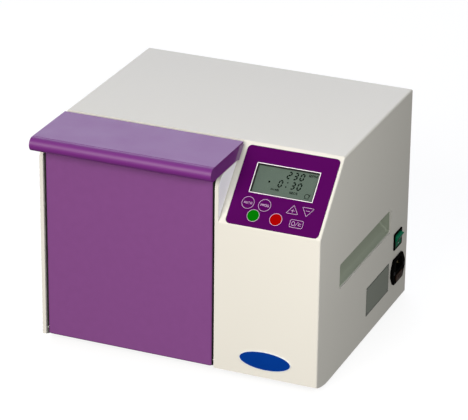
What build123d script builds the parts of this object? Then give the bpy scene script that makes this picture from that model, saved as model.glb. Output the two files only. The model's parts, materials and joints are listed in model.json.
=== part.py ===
from build123d import *
import os
from math import asin, atan2, cos, hypot, sin

os.makedirs("parts", exist_ok=True)

# Paddle blender homogenizer. Millimetres, +X right, +Y back, +Z up, bench at Z 0.

# ---------------------------------------------------------------- overall sizes
WIDTH = 400.0            # casing, side to side
DEPTH = 347.0            # casing, front plane to back
HEIGHT = 309.0           # bench to casing top
FOOT_SHOW = 3.0          # rubber foot below the casing's side walls
SHEET = 2.5              # casing wall
SWITCH_PROUD = 6.0       # rocker tip beyond the right side
NOSE = 29.0              # handle lip ahead of the front plane

XL = -(WIDTH + SWITCH_PROUD) / 2
XR = XL + WIDTH
YF = (NOSE - DEPTH) / 2
YB = YF + DEPTH
Z0 = FOOT_SHOW

# ---------------------------------------------------------------- casing sizes
DECK_RUN = 84.5          # depth of the sloped deck, seen from above
DECK_FALL = 84.0         # casing top above the deck's lower fold
TOE_RISE = 9.2           # front panel's lower edge above the side walls
TOE_RUN = 45.0           # length of the side walls' front toe arc
EDGE_R = 2.6             # bend radius of the outer sheet edges
CHEEK_T = 5.0            # chamber side walls
CHEEK_DOWN = 20.5        # casing top above the chamber side walls
CHEEK_R = 19.0           # their rounded front corner
CHAMBER_W = 248.0        # between the chamber side walls
LIP = 10.0               # turned-down front edge of the casing top
CLEAR = 0.3              # between pieces of different bodies
RUN = 0.05               # radial running clearance

DECK_Z = HEIGHT - DECK_FALL
CHEEK_TOP = HEIGHT - CHEEK_DOWN
X_CH0 = XL + CHEEK_T                  # chamber, left inner face
X_CH1 = X_CH0 + CHAMBER_W             # chamber, right inner face
X_DECK = X_CH1 + CHEEK_T              # deck, left edge
Y_DECK = YF + DECK_RUN                # fold between deck and top
Y_BULK = Y_DECK + SHEET               # bulkhead front face
Z_TOE = Z0 + TOE_RISE
DECK_LEN = hypot(DECK_RUN, HEIGHT - DECK_Z)
TILT = atan2(HEIGHT - DECK_Z, DECK_RUN)
deck = Plane(origin=(X_DECK, YF, DECK_Z), x_dir=(1, 0, 0), z_dir=(0, -sin(TILT), cos(TILT)))

# ---------------------------------------------------------------- deck layout, from the deck's lower left corner
PANEL_T = 0.8
PANEL_X0, PANEL_X1 = 8.8, 138.0
PANEL_S0, PANEL_S1 = 1.2, 113.8
PANEL_R = 6.0
WIN_X, WIN_S = 72.6, 69.8             # display window centre
WIN_W, WIN_H = 86.8, 41.2
KEY_R = 8.6
KEY_GAP = 0.25
KEY_DEPTH = 1.6
KEY_TRAVEL = 0.4
KEY_PROUD = 0.25
ROUND_KEYS = {"key_mode": (32.0, 33.6), "key_program": (55.2, 33.6), "key_start": (44.0, 17.2), "key_stop": (75.6, 17.2)}
TRI_W, TRI_H = 17.4, 13.0
UP_KEY = (94.4, 28.4)                 # middle of the base of the upward triangle
DOWN_KEY = (114.3, 40.8)              # middle of the base of the downward triangle
SET_KEY = (104.4, 16.0)
SET_W, SET_H, SET_R = 18.6, 11.2, 2.4
PCB_T = 1.6
PCB_DROP = 9.0                        # control board below the deck sheet

# ---------------------------------------------------------------- right side, from the front plane and the bench
RECESS_Y0, RECESS_Y1 = 76.0, 275.5
RECESS_Z0, RECESS_Z1 = 122.8, 158.2
RECESS_R = 3.0
CUP_DEPTH = 30.0
CUP_ROOM = 6.25                       # left cup to the crankshaft's end
CRANK_STUB = 4.0                      # crankshaft beyond its left bearing
CUP_T = 2.0
CUP_FLANGE = 6.0
LEFT_CUP_Y0 = 106.0
SWITCH_Y, SWITCH_Z = 304.8, 101.0
BEZEL_W, BEZEL_H, BEZEL_T = 30.6, 24.4, 2.2
BEZEL_LIP = 0.8                       # bezel over the edge of its hole
ROCKER_W, ROCKER_H = 24.8, 17.0
ROCKER_ROOM = 2.0                     # past each end of the rocker, for its swing
SWITCH_BODY = 18.0
INLET_Y, INLET_Z = 306.0, 55.5
INLET_W, INLET_H, INLET_T = 52.0, 38.0, 4.0
INLET_BODY_W, INLET_BODY_H = 30.0, 35.6
SOCKET_W, SOCKET_H, SOCKET_DEPTH = 24.6, 16.8, 17.0
SOCKET_UP = 8.4
DRAWER_W, DRAWER_H, DRAWER_LEN = 26.0, 10.0, 20.0
DRAWER_DOWN = 10.6
DRAWER_PROUD = 1.2                    # drawer front beyond the flange
INLET_BODY = 24.0
PLATE_Y0, PLATE_Y1 = 183.5, 272.5
PLATE_Z0, PLATE_Z1 = 34.5, 76.7
PLATE_T = 0.5
BADGE_X, BADGE_Z = 68.5, 37.0         # from the deck's left edge and the bench
BADGE_W, BADGE_H, BADGE_T = 73.4, 27.0, 1.2

# ---------------------------------------------------------------- door and handle
DOOR_GAP = 3.5                        # door edge to chamber side wall
DOOR_BACK = 0.5                       # door face behind the front plane
DOOR_T = 12.0
DOOR_WALL = 2.5
DOOR_Z0 = 12.6
DOOR_Z1 = CHEEK_TOP - 0.5
DOOR_R = 3.0
HINGE_Y, HINGE_Z = 7.0, 20.0
HINGE_R = 3.0
PAD_T = 3.0
HANDLE_W = CHAMBER_W + 11.5
HANDLE_T = 19.0
HANDLE_BACK = 78.5
HANDLE_WALL = 2.5
HANDLE_CUT = 51.0                     # lower back corner of the handle's ends
PIVOT_Y, PIVOT_Z = 74.0, HEIGHT - 9.4
PIVOT_R = 2.5
ARM_T = 4.0
ARM_IN = 6.0                          # arm to chamber side wall
ARM_END = 5.4
TONGUE_T = 2.4
TONGUE_Y = 40.0
TONGUE_W = 9.0
KEEPER_Z = HEIGHT - 43.0
KEEPER_R = 4.0

# ---------------------------------------------------------------- paddles and drive
PADDLE_GAP = 5.0
PADDLE_SIDE = 6.0
PADDLE_Z0, PADDLE_Z1 = 30.0, HEIGHT - 63.0
PADDLE_T = 10.0
BOSS_T = 6.0
PADDLE_R = 12.0
PADDLE_FACE = 40.0                    # front face behind the front plane
STROKE = 7.0                          # each way
ROD_R = 8.0
CRANK_Y, CRANK_Z = 170.0, (PADDLE_Z0 + PADDLE_Z1) / 2
SHAFT_R = 8.0
ECC_WALL = 6.0                        # least wall of an eccentric round the shaft
ECC_R = SHAFT_R + STROKE + ECC_WALL
YOKE_T = 14.0
YOKE_WALL = 8.0
YOKE_CLEAR = 0.6
BUSH_LEN = 24.0
BUSH_R = 13.0
TAIL_POST = 12.0
TAIL_GAP = 4.0
BEARING_R = 16.0
BEARING_W = 10.0
STAND_T = 10.0
BASE_T = 2.0
BASE_Z = Z0 + 2.0
RAIL_T = 6.0
PULLEY_R, PULLEY_W = 45.0, 13.0
MOTOR_PULLEY_R = 16.0
BELT_T, BELT_W = 2.0, 9.0
MOTOR_IN, MOTOR_Z = 48.4, 70.0         # motor axis behind the rod guides, and its height
MOTOR_R, MOTOR_LEN = 40.0, 130.0
MOTOR_SHAFT_R = 5.0
BRACKET_T = 4.0
LINER_T = 1.5
FLOOR_Z = 14.5
BACK_T = 2.0
BACK_IN = 0.0
FOOT_R = 11.0

Z_BASE = BASE_Z + BASE_T
PADDLE_W = (CHAMBER_W - 2 * PADDLE_SIDE - PADDLE_GAP) / 2
PADDLE_X = [X_CH0 + PADDLE_SIDE + PADDLE_W / 2, X_CH1 - PADDLE_SIDE - PADDLE_W / 2]
YOKE_SLOT_Y = 2 * ECC_R + 4 * STROKE + 2 * YOKE_CLEAR
YOKE_SLOT_Z = 2 * ECC_R + 2 * STROKE + 2 * YOKE_CLEAR
YOKE_Y0 = YF + CRANK_Y - YOKE_SLOT_Y / 2 - YOKE_WALL
YOKE_Y1 = YF + CRANK_Y + YOKE_SLOT_Y / 2 + YOKE_WALL
Y_TAIL = YOKE_Y1 + STROKE + TAIL_GAP
X_BEAR = [PADDLE_X[0] - YOKE_T / 2 - 12, PADDLE_X[1] + YOKE_T / 2 + 12]
X_PULLEY = X_BEAR[1] + BEARING_W / 2 + 5
LEFT_CUP_DEPTH = X_BEAR[0] - BEARING_W / 2 - CRANK_STUB - CUP_ROOM - CUP_T - SHEET - XL
Y_CRANK = YF + CRANK_Y
Y_MOTOR = Y_TAIL + TAIL_POST + MOTOR_IN
MOTOR_Y = Y_MOTOR - YF
Y_BACK = YB - BACK_IN - BACK_T


def side_profile(plane, height_front, run_top, top):
    """Closed side outline with the toe arc: front edge, then a slope up to the top edge."""
    with BuildSketch(plane) as sk:
        with BuildLine():
            toe = TangentArc((YF + TOE_RUN, Z0), (YF, Z_TOE), tangent=(-1, 0))
            Polyline(toe @ 1, (YF, height_front), (YF + run_top, top), (YB, top), (YB, Z0), toe @ 0)
        make_face()
    return sk.sketch


# ---------------------------------------------------------------- casing
housing = side_profile(Plane.YZ.offset(X_DECK), DECK_Z, DECK_RUN, HEIGHT)
with BuildPart() as casing:
    extrude(housing, amount=XR - X_DECK)
    with BuildSketch(Plane.YZ.offset(XL)):
        with BuildLine():
            l1 = Line((YB, Z0), (YB, HEIGHT))
            l2 = Line(l1 @ 1, (Y_DECK, HEIGHT))
            l3 = Line(l2 @ 1, (Y_DECK, Z0))
            Line(l3 @ 1, (YB, Z0))
        make_face()
    extrude(amount=X_DECK - XL)
    # bend radii of the outer sheet edges: the right side's outline, the deck's lower fold, the left edge of the top
    side_edges = casing.faces().sort_by(Axis.X)[-1].edges().filter_by(GeomType.LINE)
    outline = [e for e in side_edges if abs(e.center().Z - Z0) > 1 and abs(e.center().Y - YB) > 1]
    low_fold = [e for e in casing.edges().filter_by(Axis.X) if abs(e.center().Z - DECK_Z) < 1]
    left_top = [e for e in casing.edges().filter_by(Axis.Y) if abs(e.center().Z - HEIGHT) < 1 and abs(e.center().X - XL) < 1]
    fillet(outline + low_fold + left_top, EDGE_R)
    # inside of the housing, open below and behind
    with BuildSketch(Plane.YZ.offset(X_DECK)):
        with BuildLine():
            Polyline(
                (YF + SHEET, Z0 - 1), (YF + SHEET, DECK_Z - SHEET * 0.41), (Y_DECK + SHEET * 0.41, HEIGHT - SHEET),
                (YB + 1, HEIGHT - SHEET), (YB + 1, Z0 - 1), close=True)
        make_face()
    extrude(amount=XR - SHEET - X_DECK, mode=Mode.SUBTRACT)
    with BuildSketch(Plane.YZ.offset(XL + SHEET)):
        with BuildLine():
            Polyline(
                (Y_DECK + SHEET, Z0 - 1), (Y_DECK + SHEET, HEIGHT - SHEET),
                (YB + 1, HEIGHT - SHEET), (YB + 1, Z0 - 1), close=True)
        make_face()
    extrude(amount=X_DECK - XL - SHEET, mode=Mode.SUBTRACT)
    # the turned-down lip is all that stays of the wall over the chamber
    with BuildSketch(Plane.XZ.offset(-Y_DECK)):
        with Locations(((X_CH0 + X_CH1) / 2, (Z0 + HEIGHT - LIP) / 2 - 1)):
            Rectangle(CHAMBER_W, HEIGHT - LIP - Z0 + 2)
    extrude(amount=-SHEET, mode=Mode.SUBTRACT)
    # chamber side walls
    for x in (XL, X_CH1):
        with BuildSketch(Plane.YZ.offset(x)):
            with BuildLine():
                toe = TangentArc((YF + TOE_RUN, Z0), (YF, Z_TOE), tangent=(-1, 0))
                up = Line(toe @ 1, (YF, CHEEK_TOP - CHEEK_R))
                bend = TangentArc(up @ 1, (YF + CHEEK_R, CHEEK_TOP), tangent=(0, 1))
                Polyline(bend @ 1, (Y_BULK + LIP, CHEEK_TOP), (Y_BULK + LIP, Z0), toe @ 0)
            make_face()
        extrude(amount=CHEEK_T)
    for x, d in ((X_CH0, -1), (X_CH1, 1)):
        with BuildSketch(Plane.YZ.offset(x)):
            with Locations((YF + HINGE_Y, HINGE_Z)):
                Circle(HINGE_R)
        extrude(amount=d * (CHEEK_T - 1), mode=Mode.SUBTRACT)
    # openings: hand recesses, display, switch, inlet
    for x, y0 in ((XR, RECESS_Y0), (XL + SHEET, LEFT_CUP_Y0)):
        with BuildSketch(Plane.YZ.offset(x)):
            with Locations((YF + (y0 + RECESS_Y1) / 2, (RECESS_Z0 + RECESS_Z1) / 2)):
                RectangleRounded(RECESS_Y1 - y0, RECESS_Z1 - RECESS_Z0, RECESS_R)
        extrude(amount=-SHEET, mode=Mode.SUBTRACT)
    with BuildSketch(deck):
        with Locations((WIN_X, WIN_S)):
            Rectangle(WIN_W, WIN_H)
        with Locations(*ROUND_KEYS.values()):
            Rectangle(2 * (KEY_R + KEY_GAP), 2 * (KEY_R + KEY_GAP))
        with Locations((UP_KEY[0], UP_KEY[1] + TRI_H / 2), (DOWN_KEY[0], DOWN_KEY[1] - TRI_H / 2)):
            Rectangle(TRI_W + 2 * KEY_GAP, TRI_H + 2 * KEY_GAP)
        with Locations(SET_KEY):
            Rectangle(SET_W + 2 * KEY_GAP, SET_H + 2 * KEY_GAP)
    extrude(amount=-SHEET * 2, mode=Mode.SUBTRACT)
    with BuildSketch(Plane.YZ.offset(XR)):
        with Locations((YF + SWITCH_Y, SWITCH_Z)):
            Rectangle(BEZEL_W - 2 * BEZEL_LIP, BEZEL_H - 2 * BEZEL_LIP)
        with Locations((YF + INLET_Y, INLET_Z)):
            Rectangle(INLET_BODY_W, INLET_BODY_H)
    extrude(amount=-SHEET, mode=Mode.SUBTRACT)
casing.part.label = "casing"
export_step(casing.part, "parts/casing.step")

# ---------------------------------------------------------------- base, feet, back
with BuildPart() as base_plate:
    with BuildSketch(Plane.XY.offset(BASE_Z)):
        with Locations(((XL + XR) / 2, (YF + TOE_RUN + Y_BACK) / 2)):
            Rectangle(WIDTH - 2 * CHEEK_T, Y_BACK - YF - TOE_RUN)
        with Locations((X_CH1 + CHEEK_T / 2, Y_BULK + LIP)):
            Rectangle(CHEEK_T, 2 * (Y_BULK + LIP - YF - TOE_RUN) + 2, mode=Mode.SUBTRACT)
    extrude(amount=BASE_T)
    # a step up to the front panel's lower edge
    with BuildSketch(Plane.YZ.offset(X_DECK)):
        with BuildLine():
            y1, z1 = YF + TOE_RUN, Z_TOE + BASE_T
            Polyline((YF + SHEET, Z_TOE), (y1 - BASE_T, Z_TOE), (y1 - BASE_T, BASE_Z), (y1 + 1, BASE_Z),
                     (y1 + 1, BASE_Z + BASE_T), (y1, BASE_Z + BASE_T), (y1, z1), (YF + SHEET, z1), close=True)
        make_face()
    extrude(amount=XR - SHEET - X_DECK)
base_plate.part.label = "base_plate"
export_step(base_plate.part, "parts/base_plate.step")

with BuildPart() as feet:
    with BuildSketch(Plane.XY):
        with Locations(((XL + XR) / 2, (YF + YB) / 2 + 10)):
            with GridLocations(WIDTH - 90, DEPTH - 110, 2, 2):
                Circle(FOOT_R)
    extrude(amount=BASE_Z, taper=6)
feet.part.label = "feet"
export_step(feet.part, "parts/feet.step")

with BuildPart() as back_panel:
    with BuildSketch(Plane.XZ.offset(-Y_BACK)):
        with Locations(((XL + XR) / 2, (Z0 + HEIGHT - SHEET) / 2)):
            Rectangle(WIDTH - 2 * SHEET, HEIGHT - SHEET - Z0)
        with Locations((XL + 110, HEIGHT - 94), (XR - 90, HEIGHT - 94)):
            with GridLocations(0, 9, 1, 9):
                Rectangle(90, 3.6, mode=Mode.SUBTRACT)
    extrude(amount=-BACK_T)
back_panel.part.label = "back_panel"
export_step(back_panel.part, "parts/back_panel.step")

# ---------------------------------------------------------------- chamber tray: bulkhead and floor in one bent sheet
with BuildPart() as chamber_tray:
    with BuildSketch(Plane.YZ.offset(X_CH0)):
        with BuildLine():
            a = Line((Y_BULK, HEIGHT - SHEET - 2), (Y_BULK, FLOOR_Z + 6))
            b = TangentArc(a @ 1, (Y_BULK - 6, FLOOR_Z), tangent=(0, -1))
            c = Line(b @ 1, (YF + HINGE_Y + 16, FLOOR_Z - 1))
            Line(c @ 1, (YF + HINGE_Y + 14, FLOOR_Z - 4))
            offset(amount=LINER_T, side=Side.LEFT)
        make_face()
    extrude(amount=CHAMBER_W)
    with BuildSketch(Plane.XZ.offset(-Y_BULK)):
        for x in PADDLE_X:
            with Locations((x, CRANK_Z)):
                Rectangle(2 * ROD_R + 6, 2 * ROD_R + 6)
    extrude(amount=-LINER_T * 2, both=True, mode=Mode.SUBTRACT)
chamber_tray.part.label = "chamber_tray"
export_step(chamber_tray.part, "parts/chamber_tray.step")

# ---------------------------------------------------------------- door
X_D0 = X_CH0 + DOOR_GAP
X_D1 = X_CH1 - DOOR_GAP
Y_D0 = YF + DOOR_BACK
Y_D1 = Y_D0 + DOOR_T
with BuildPart() as door_shell:
    with BuildSketch(Plane.XZ.offset(-Y_D0)):
        with Locations(((X_D0 + X_D1) / 2, (DOOR_Z0 + DOOR_Z1) / 2)):
            Rectangle(X_D1 - X_D0, DOOR_Z1 - DOOR_Z0)
    extrude(amount=-DOOR_T)
    fillet(door_shell.edges().filter_by(Axis.Z).sort_by(Axis.Y)[:2], DOOR_R)
    fillet(door_shell.edges().filter_by(Axis.X).group_by(Axis.Z)[0].sort_by(Axis.Y)[:1], DOOR_R)
    with BuildSketch(Plane.XZ.offset(-Y_D1)):
        with Locations(((X_D0 + X_D1) / 2, (DOOR_Z0 + DOOR_Z1) / 2)):
            Rectangle(X_D1 - X_D0 - 2 * DOOR_WALL, DOOR_Z1 - DOOR_Z0 - 2 * DOOR_WALL)
    extrude(amount=DOOR_T - DOOR_WALL, mode=Mode.SUBTRACT)
    # hinge bosses in the lower corners, bored for the pins
    with BuildSketch(Plane.YZ.offset(X_D0 + DOOR_WALL)):
        with Locations((YF + HINGE_Y, HINGE_Z)):
            Rectangle(2 * HINGE_R + 5, 2 * HINGE_R + 6)
    extrude(amount=8)
    with BuildSketch(Plane.YZ.offset(X_D1 - DOOR_WALL)):
        with Locations((YF + HINGE_Y, HINGE_Z)):
            Rectangle(2 * HINGE_R + 5, 2 * HINGE_R + 6)
    extrude(amount=-8)
    with BuildSketch(Plane.YZ.offset(X_D0)):
        with Locations((YF + HINGE_Y, HINGE_Z)):
            Circle(HINGE_R + RUN)
    extrude(amount=X_D1 - X_D0, mode=Mode.SUBTRACT)
door_shell.part.label = "door_shell"
export_step(door_shell.part, "parts/door_shell.step")

# inner plate closes the shell; the pad is what the bag is pressed against
PAD_IN = 14.0
Z_PAD0 = DOOR_Z0 + 22
Z_PAD1 = PADDLE_Z1 + 8
Z_DP0 = HINGE_Z + HINGE_R + 4
Z_DP1 = DOOR_Z1 - DOOR_WALL
with BuildPart() as door_plate:
    with BuildSketch(Plane.XZ.offset(-(Y_D1 - LINER_T))):
        with Locations(((X_D0 + X_D1) / 2, (Z_DP0 + Z_DP1) / 2)):
            Rectangle(X_D1 - X_D0 - 2 * DOOR_WALL, Z_DP1 - Z_DP0)
    extrude(amount=-LINER_T)
door_plate.part.label = "door_plate"
export_step(door_plate.part, "parts/door_plate.step")

with BuildPart() as door_pad:
    with BuildSketch(Plane.XZ.offset(-Y_D1)):
        with Locations(((X_D0 + X_D1) / 2, (Z_PAD0 + Z_PAD1) / 2)):
            RectangleRounded(X_D1 - X_D0 - 2 * PAD_IN, Z_PAD1 - Z_PAD0, 10)
    extrude(amount=-PAD_T)
    chamfer(door_pad.faces().sort_by(Axis.Y)[-1].edges(), 1.5)
door_pad.part.label = "door_pad"
export_step(door_pad.part, "parts/door_pad.step")

with BuildPart() as door_seal:
    with BuildSketch(Plane.XZ.offset(-Y_D1)):
        with Locations(((X_D0 + X_D1) / 2, (Z_PAD0 + Z_PAD1) / 2)):
            RectangleRounded(X_D1 - X_D0 - 2 * PAD_IN + 12, Z_PAD1 - Z_PAD0 + 12, 14)
            RectangleRounded(X_D1 - X_D0 - 2 * PAD_IN + 4, Z_PAD1 - Z_PAD0 + 4, 11, mode=Mode.SUBTRACT)
    extrude(amount=-2.5)
door_seal.part.label = "door_seal"
export_step(door_seal.part, "parts/door_seal.step")

with BuildPart() as hinge_pins:
    for x, d in ((X_CH0 - CHEEK_T + 1, 1), (X_CH1 + CHEEK_T - 1, -1)):
        with BuildSketch(Plane.YZ.offset(x)):
            with Locations((YF + HINGE_Y, HINGE_Z)):
                Circle(HINGE_R)
        extrude(amount=d * (CHEEK_T - 1 + DOOR_GAP + 8))
hinge_pins.part.label = "hinge_pins"
export_step(hinge_pins.part, "parts/hinge_pins.step")

# arms from the door's inner face back to the handle pivot
Y_PIV = YF + PIVOT_Y
with BuildPart() as handle_arms:
    for x, d in ((X_CH0 + ARM_IN, 1), (X_CH1 - ARM_IN, -1)):
        with BuildSketch(Plane.YZ.offset(x)):
            with BuildLine():
                top = Line((Y_D1, PIVOT_Z + ARM_END - 17), (YF + 34, PIVOT_Z + ARM_END))
                tip = Polyline(top @ 1, (Y_PIV + 3, PIVOT_Z + ARM_END), (Y_PIV + ARM_END, PIVOT_Z + 3),
                               (Y_PIV + ARM_END, PIVOT_Z - 3), (Y_PIV + 3, PIVOT_Z - ARM_END))
                low = Line(tip @ 1, (Y_PIV - 14, PIVOT_Z - ARM_END))
                back = TangentArc(low @ 1, (Y_D1 + 5, Z_PAD1 + 9), tangent=(-1, 0))
                Polyline(back @ 1, (Y_D1, Z_PAD1 + 9), top @ 0)
            make_face()
            with Locations((Y_PIV, PIVOT_Z)):
                Circle(PIVOT_R + RUN, mode=Mode.SUBTRACT)
        extrude(amount=d * ARM_T)
        with BuildSketch(Plane.XZ.offset(-Y_D1)):
            with Locations((x + d * (ARM_T + 6), (Z_PAD1 + 9 + DOOR_Z1) / 2 - 2)):
                Rectangle(12, DOOR_Z1 - Z_PAD1 - 13)
        extrude(amount=-2)
handle_arms.part.label = "handle_arms"
export_step(handle_arms.part, "parts/handle_arms.step")

# ---------------------------------------------------------------- handle
NOSE_R = HANDLE_T / 2
Y_H0 = YF - NOSE + NOSE_R
Y_H1 = YF + HANDLE_BACK
Z_H = HEIGHT - HANDLE_T
X_H1 = XL + HANDLE_W
with BuildPart() as handle_shell:
    with BuildSketch(Plane.YZ.offset(XL)):
        with BuildLine():
            t = Line((Y_H1, HEIGHT), (Y_H0, HEIGHT))
            n = ThreePointArc(t @ 1, (YF - NOSE, HEIGHT - NOSE_R), (Y_H0, Z_H))
            Polyline(n @ 1, (YF + HANDLE_CUT, Z_H), (YF + HANDLE_CUT + HANDLE_T - HANDLE_WALL, HEIGHT - HANDLE_WALL),
                     (Y_H1, HEIGHT - HANDLE_WALL), t @ 0)
        make_face()
    extrude(amount=HANDLE_W)
    with BuildSketch(Plane.YZ.offset(XL + HANDLE_WALL)):
        with BuildLine():
            t = Line((Y_H1 + 1, HEIGHT - HANDLE_WALL), (Y_H0, HEIGHT - HANDLE_WALL))
            n = ThreePointArc(t @ 1, (YF - NOSE + HANDLE_WALL, HEIGHT - NOSE_R), (Y_H0, Z_H + HANDLE_WALL))
            Polyline(n @ 1, (YF - 10, Z_H + HANDLE_WALL), (YF - 10, Z_H - 1), (Y_H1 + 1, Z_H - 1), t @ 0)
        make_face()
    extrude(amount=HANDLE_W - 2 * HANDLE_WALL, mode=Mode.SUBTRACT)
    # crease where the lip begins
    with BuildSketch(Plane.YZ.offset(XL)):
        with BuildLine():
            Polyline((Y_H0 + 2.4, HEIGHT + 0.1), (Y_H0 + 1.6, HEIGHT - 0.7), (Y_H0 + 0.8, HEIGHT + 0.1), close=True)
        make_face()
    extrude(amount=HANDLE_W, mode=Mode.SUBTRACT)
    # lugs that carry the pivot pins, both sides of each arm, and ribs across the top plate
    for x, d in ((X_CH0 + ARM_IN, 1), (X_CH1 - ARM_IN, -1)):
        for a, w in ((-CLEAR - 3, 3), (ARM_T + CLEAR, 3)):
            with BuildSketch(Plane.YZ.offset(x + d * a)):
                with BuildLine():
                    Polyline((Y_PIV - 5, PIVOT_Z - 2.4), (Y_PIV - 2.4, PIVOT_Z - 4.6), (Y_PIV + 2.4, PIVOT_Z - 4.6),
                             (Y_PIV + 4.4, PIVOT_Z - 2.4), (Y_PIV + 4.4, HEIGHT - HANDLE_WALL),
                             (Y_PIV - 14, HEIGHT - HANDLE_WALL), close=True)
                make_face()
                with Locations((Y_PIV, PIVOT_Z)):
                    Circle(PIVOT_R, mode=Mode.SUBTRACT)
            extrude(amount=d * w)
    with BuildSketch(Plane.XY.offset(HEIGHT - HANDLE_WALL)):
        with Locations(((XL + X_H1) / 2, YF + 24)):
            with GridLocations(46, 0, 4, 1):
                Rectangle(2.5, 2 * (24 + NOSE) - 8)
    extrude(amount=-7)
handle_shell.part.label = "handle_shell"
export_step(handle_shell.part, "parts/handle_shell.step")

with BuildPart() as handle_pins:
    for x, d in ((X_CH0 + ARM_IN, 1), (X_CH1 - ARM_IN, -1)):
        with BuildSketch(Plane.YZ.offset(x - d * (CLEAR + 3))):
            with Locations((Y_PIV, PIVOT_Z)):
                Circle(PIVOT_R)
        extrude(amount=d * (ARM_T + 2 * CLEAR + 6))
handle_pins.part.label = "handle_pins"
export_step(handle_pins.part, "parts/handle_pins.step")

# latch tongues under the handle, and the rollers they come down on
TONGUE_IN = 1.4
Z_TIP = KEEPER_Z + KEEPER_R + CLEAR
with BuildPart() as latch_tongues:
    for x, d in ((X_CH0 + TONGUE_IN, 1), (X_CH1 - TONGUE_IN, -1)):
        with BuildSketch(Plane.YZ.offset(x)):
            with BuildLine():
                Polyline((YF + TONGUE_Y - TONGUE_W, HEIGHT - HANDLE_WALL), (YF + TONGUE_Y - TONGUE_W / 2, Z_TIP + 4),
                         (YF + TONGUE_Y - TONGUE_W / 2 + 2, Z_TIP), (YF + TONGUE_Y + TONGUE_W / 2 - 2, Z_TIP),
                         (YF + TONGUE_Y + TONGUE_W / 2, Z_TIP + 4), (YF + TONGUE_Y + TONGUE_W, HEIGHT - HANDLE_WALL),
                         close=True)
            make_face()
        extrude(amount=d * TONGUE_T)
latch_tongues.part.label = "latch_tongues"
export_step(latch_tongues.part, "parts/latch_tongues.step")

with BuildPart() as latch_keepers:
    for x, d in ((X_CH0, 1), (X_CH1, -1)):
        with BuildSketch(Plane.YZ.offset(x)):
            with Locations((YF + TONGUE_Y, KEEPER_Z)):
                Circle(KEEPER_R)
        extrude(amount=d * (TONGUE_IN + TONGUE_T))
latch_keepers.part.label = "latch_keepers"
export_step(latch_keepers.part, "parts/latch_keepers.step")

# ---------------------------------------------------------------- paddles, rods and yokes
for side, x, up in (("left", PADDLE_X[0], 1), ("right", PADDLE_X[1], -1)):
    with BuildPart() as paddle:
        with BuildSketch(Plane.XZ.offset(-(YF + PADDLE_FACE))):
            with Locations((x, (PADDLE_Z0 + PADDLE_Z1) / 2)):
                RectangleRounded(PADDLE_W, PADDLE_Z1 - PADDLE_Z0, PADDLE_R)
        extrude(amount=-PADDLE_T)
        chamfer(paddle.faces().sort_by(Axis.Y)[0].edges(), 3)
        # boss that takes the rod
        with BuildSketch(Plane.XZ.offset(-(YF + PADDLE_FACE + PADDLE_T))):
            with Locations((x, CRANK_Z)):
                Circle(ROD_R + 6)
        extrude(amount=-BOSS_T)
    paddle.part.label = "paddle_" + side
    export_step(paddle.part, "parts/paddle_" + side + ".step")

    with BuildPart() as yoke:
        with BuildSketch(Plane.YZ.offset(x - YOKE_T / 2)):
            with Locations((Y_CRANK, CRANK_Z)):
                Rectangle(YOKE_Y1 - YOKE_Y0, YOKE_SLOT_Z + 2 * YOKE_WALL)
                chamfer(vertices(), 8)
                Rectangle(YOKE_SLOT_Y, YOKE_SLOT_Z, mode=Mode.SUBTRACT)
        extrude(amount=YOKE_T)
        with BuildSketch(Plane.XZ.offset(-(YF + PADDLE_FACE + PADDLE_T + BOSS_T))):
            with Locations((x, CRANK_Z)):
                Circle(ROD_R)
        extrude(amount=-(YOKE_Y0 - YF - PADDLE_FACE - PADDLE_T - BOSS_T + 1))
        with BuildSketch(Plane.XZ.offset(-(YOKE_Y1 - 1))):
            with Locations((x, CRANK_Z)):
                Circle(ROD_R)
        extrude(amount=-(Y_TAIL - YOKE_Y1 + TAIL_POST + STROKE + 3))
    yoke.part.label = "yoke_rod_" + side
    export_step(yoke.part, "parts/yoke_rod_" + side + ".step")

with BuildPart() as rod_bushes:
    with BuildSketch(Plane.XZ.offset(-(Y_BULK + LINER_T))):
        for x in PADDLE_X:
            with Locations((x, CRANK_Z)):
                Rectangle(2 * BUSH_R + 8, 2 * BUSH_R + 8)
                Circle(ROD_R + RUN, mode=Mode.SUBTRACT)
    extrude(amount=-BUSH_LEN)
rod_bushes.part.label = "rod_bushes"
export_step(rod_bushes.part, "parts/rod_bushes.step")

with BuildPart() as rod_seals:
    for x in PADDLE_X:
        with BuildSketch(Plane.XZ.offset(-Y_BULK)):
            with Locations((x, CRANK_Z)):
                Rectangle(2 * BUSH_R + 8, 2 * BUSH_R + 8)
                Circle(ROD_R + 2 * RUN, mode=Mode.SUBTRACT)
        extrude(amount=5)
rod_seals.part.label = "rod_seals"
export_step(rod_seals.part, "parts/rod_seals.step")

# ---------------------------------------------------------------- drive frame and crankshaft
Y_RAIL0 = Y_BULK + LINER_T + 6
Y_RAIL1 = Y_TAIL + TAIL_POST
Z_RAIL = Z_BASE + RAIL_T
with BuildPart() as drive_frame:
    with BuildSketch(Plane.XY.offset(Z_BASE)):
        with Locations((sum(X_BEAR) / 2, (Y_RAIL0 + Y_RAIL1) / 2)):
            Rectangle(X_BEAR[1] - X_BEAR[0] + STAND_T, Y_RAIL1 - Y_RAIL0)
    extrude(amount=RAIL_T)
drive_frame.part.label = "drive_frame"
export_step(drive_frame.part, "parts/drive_frame.step")

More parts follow.
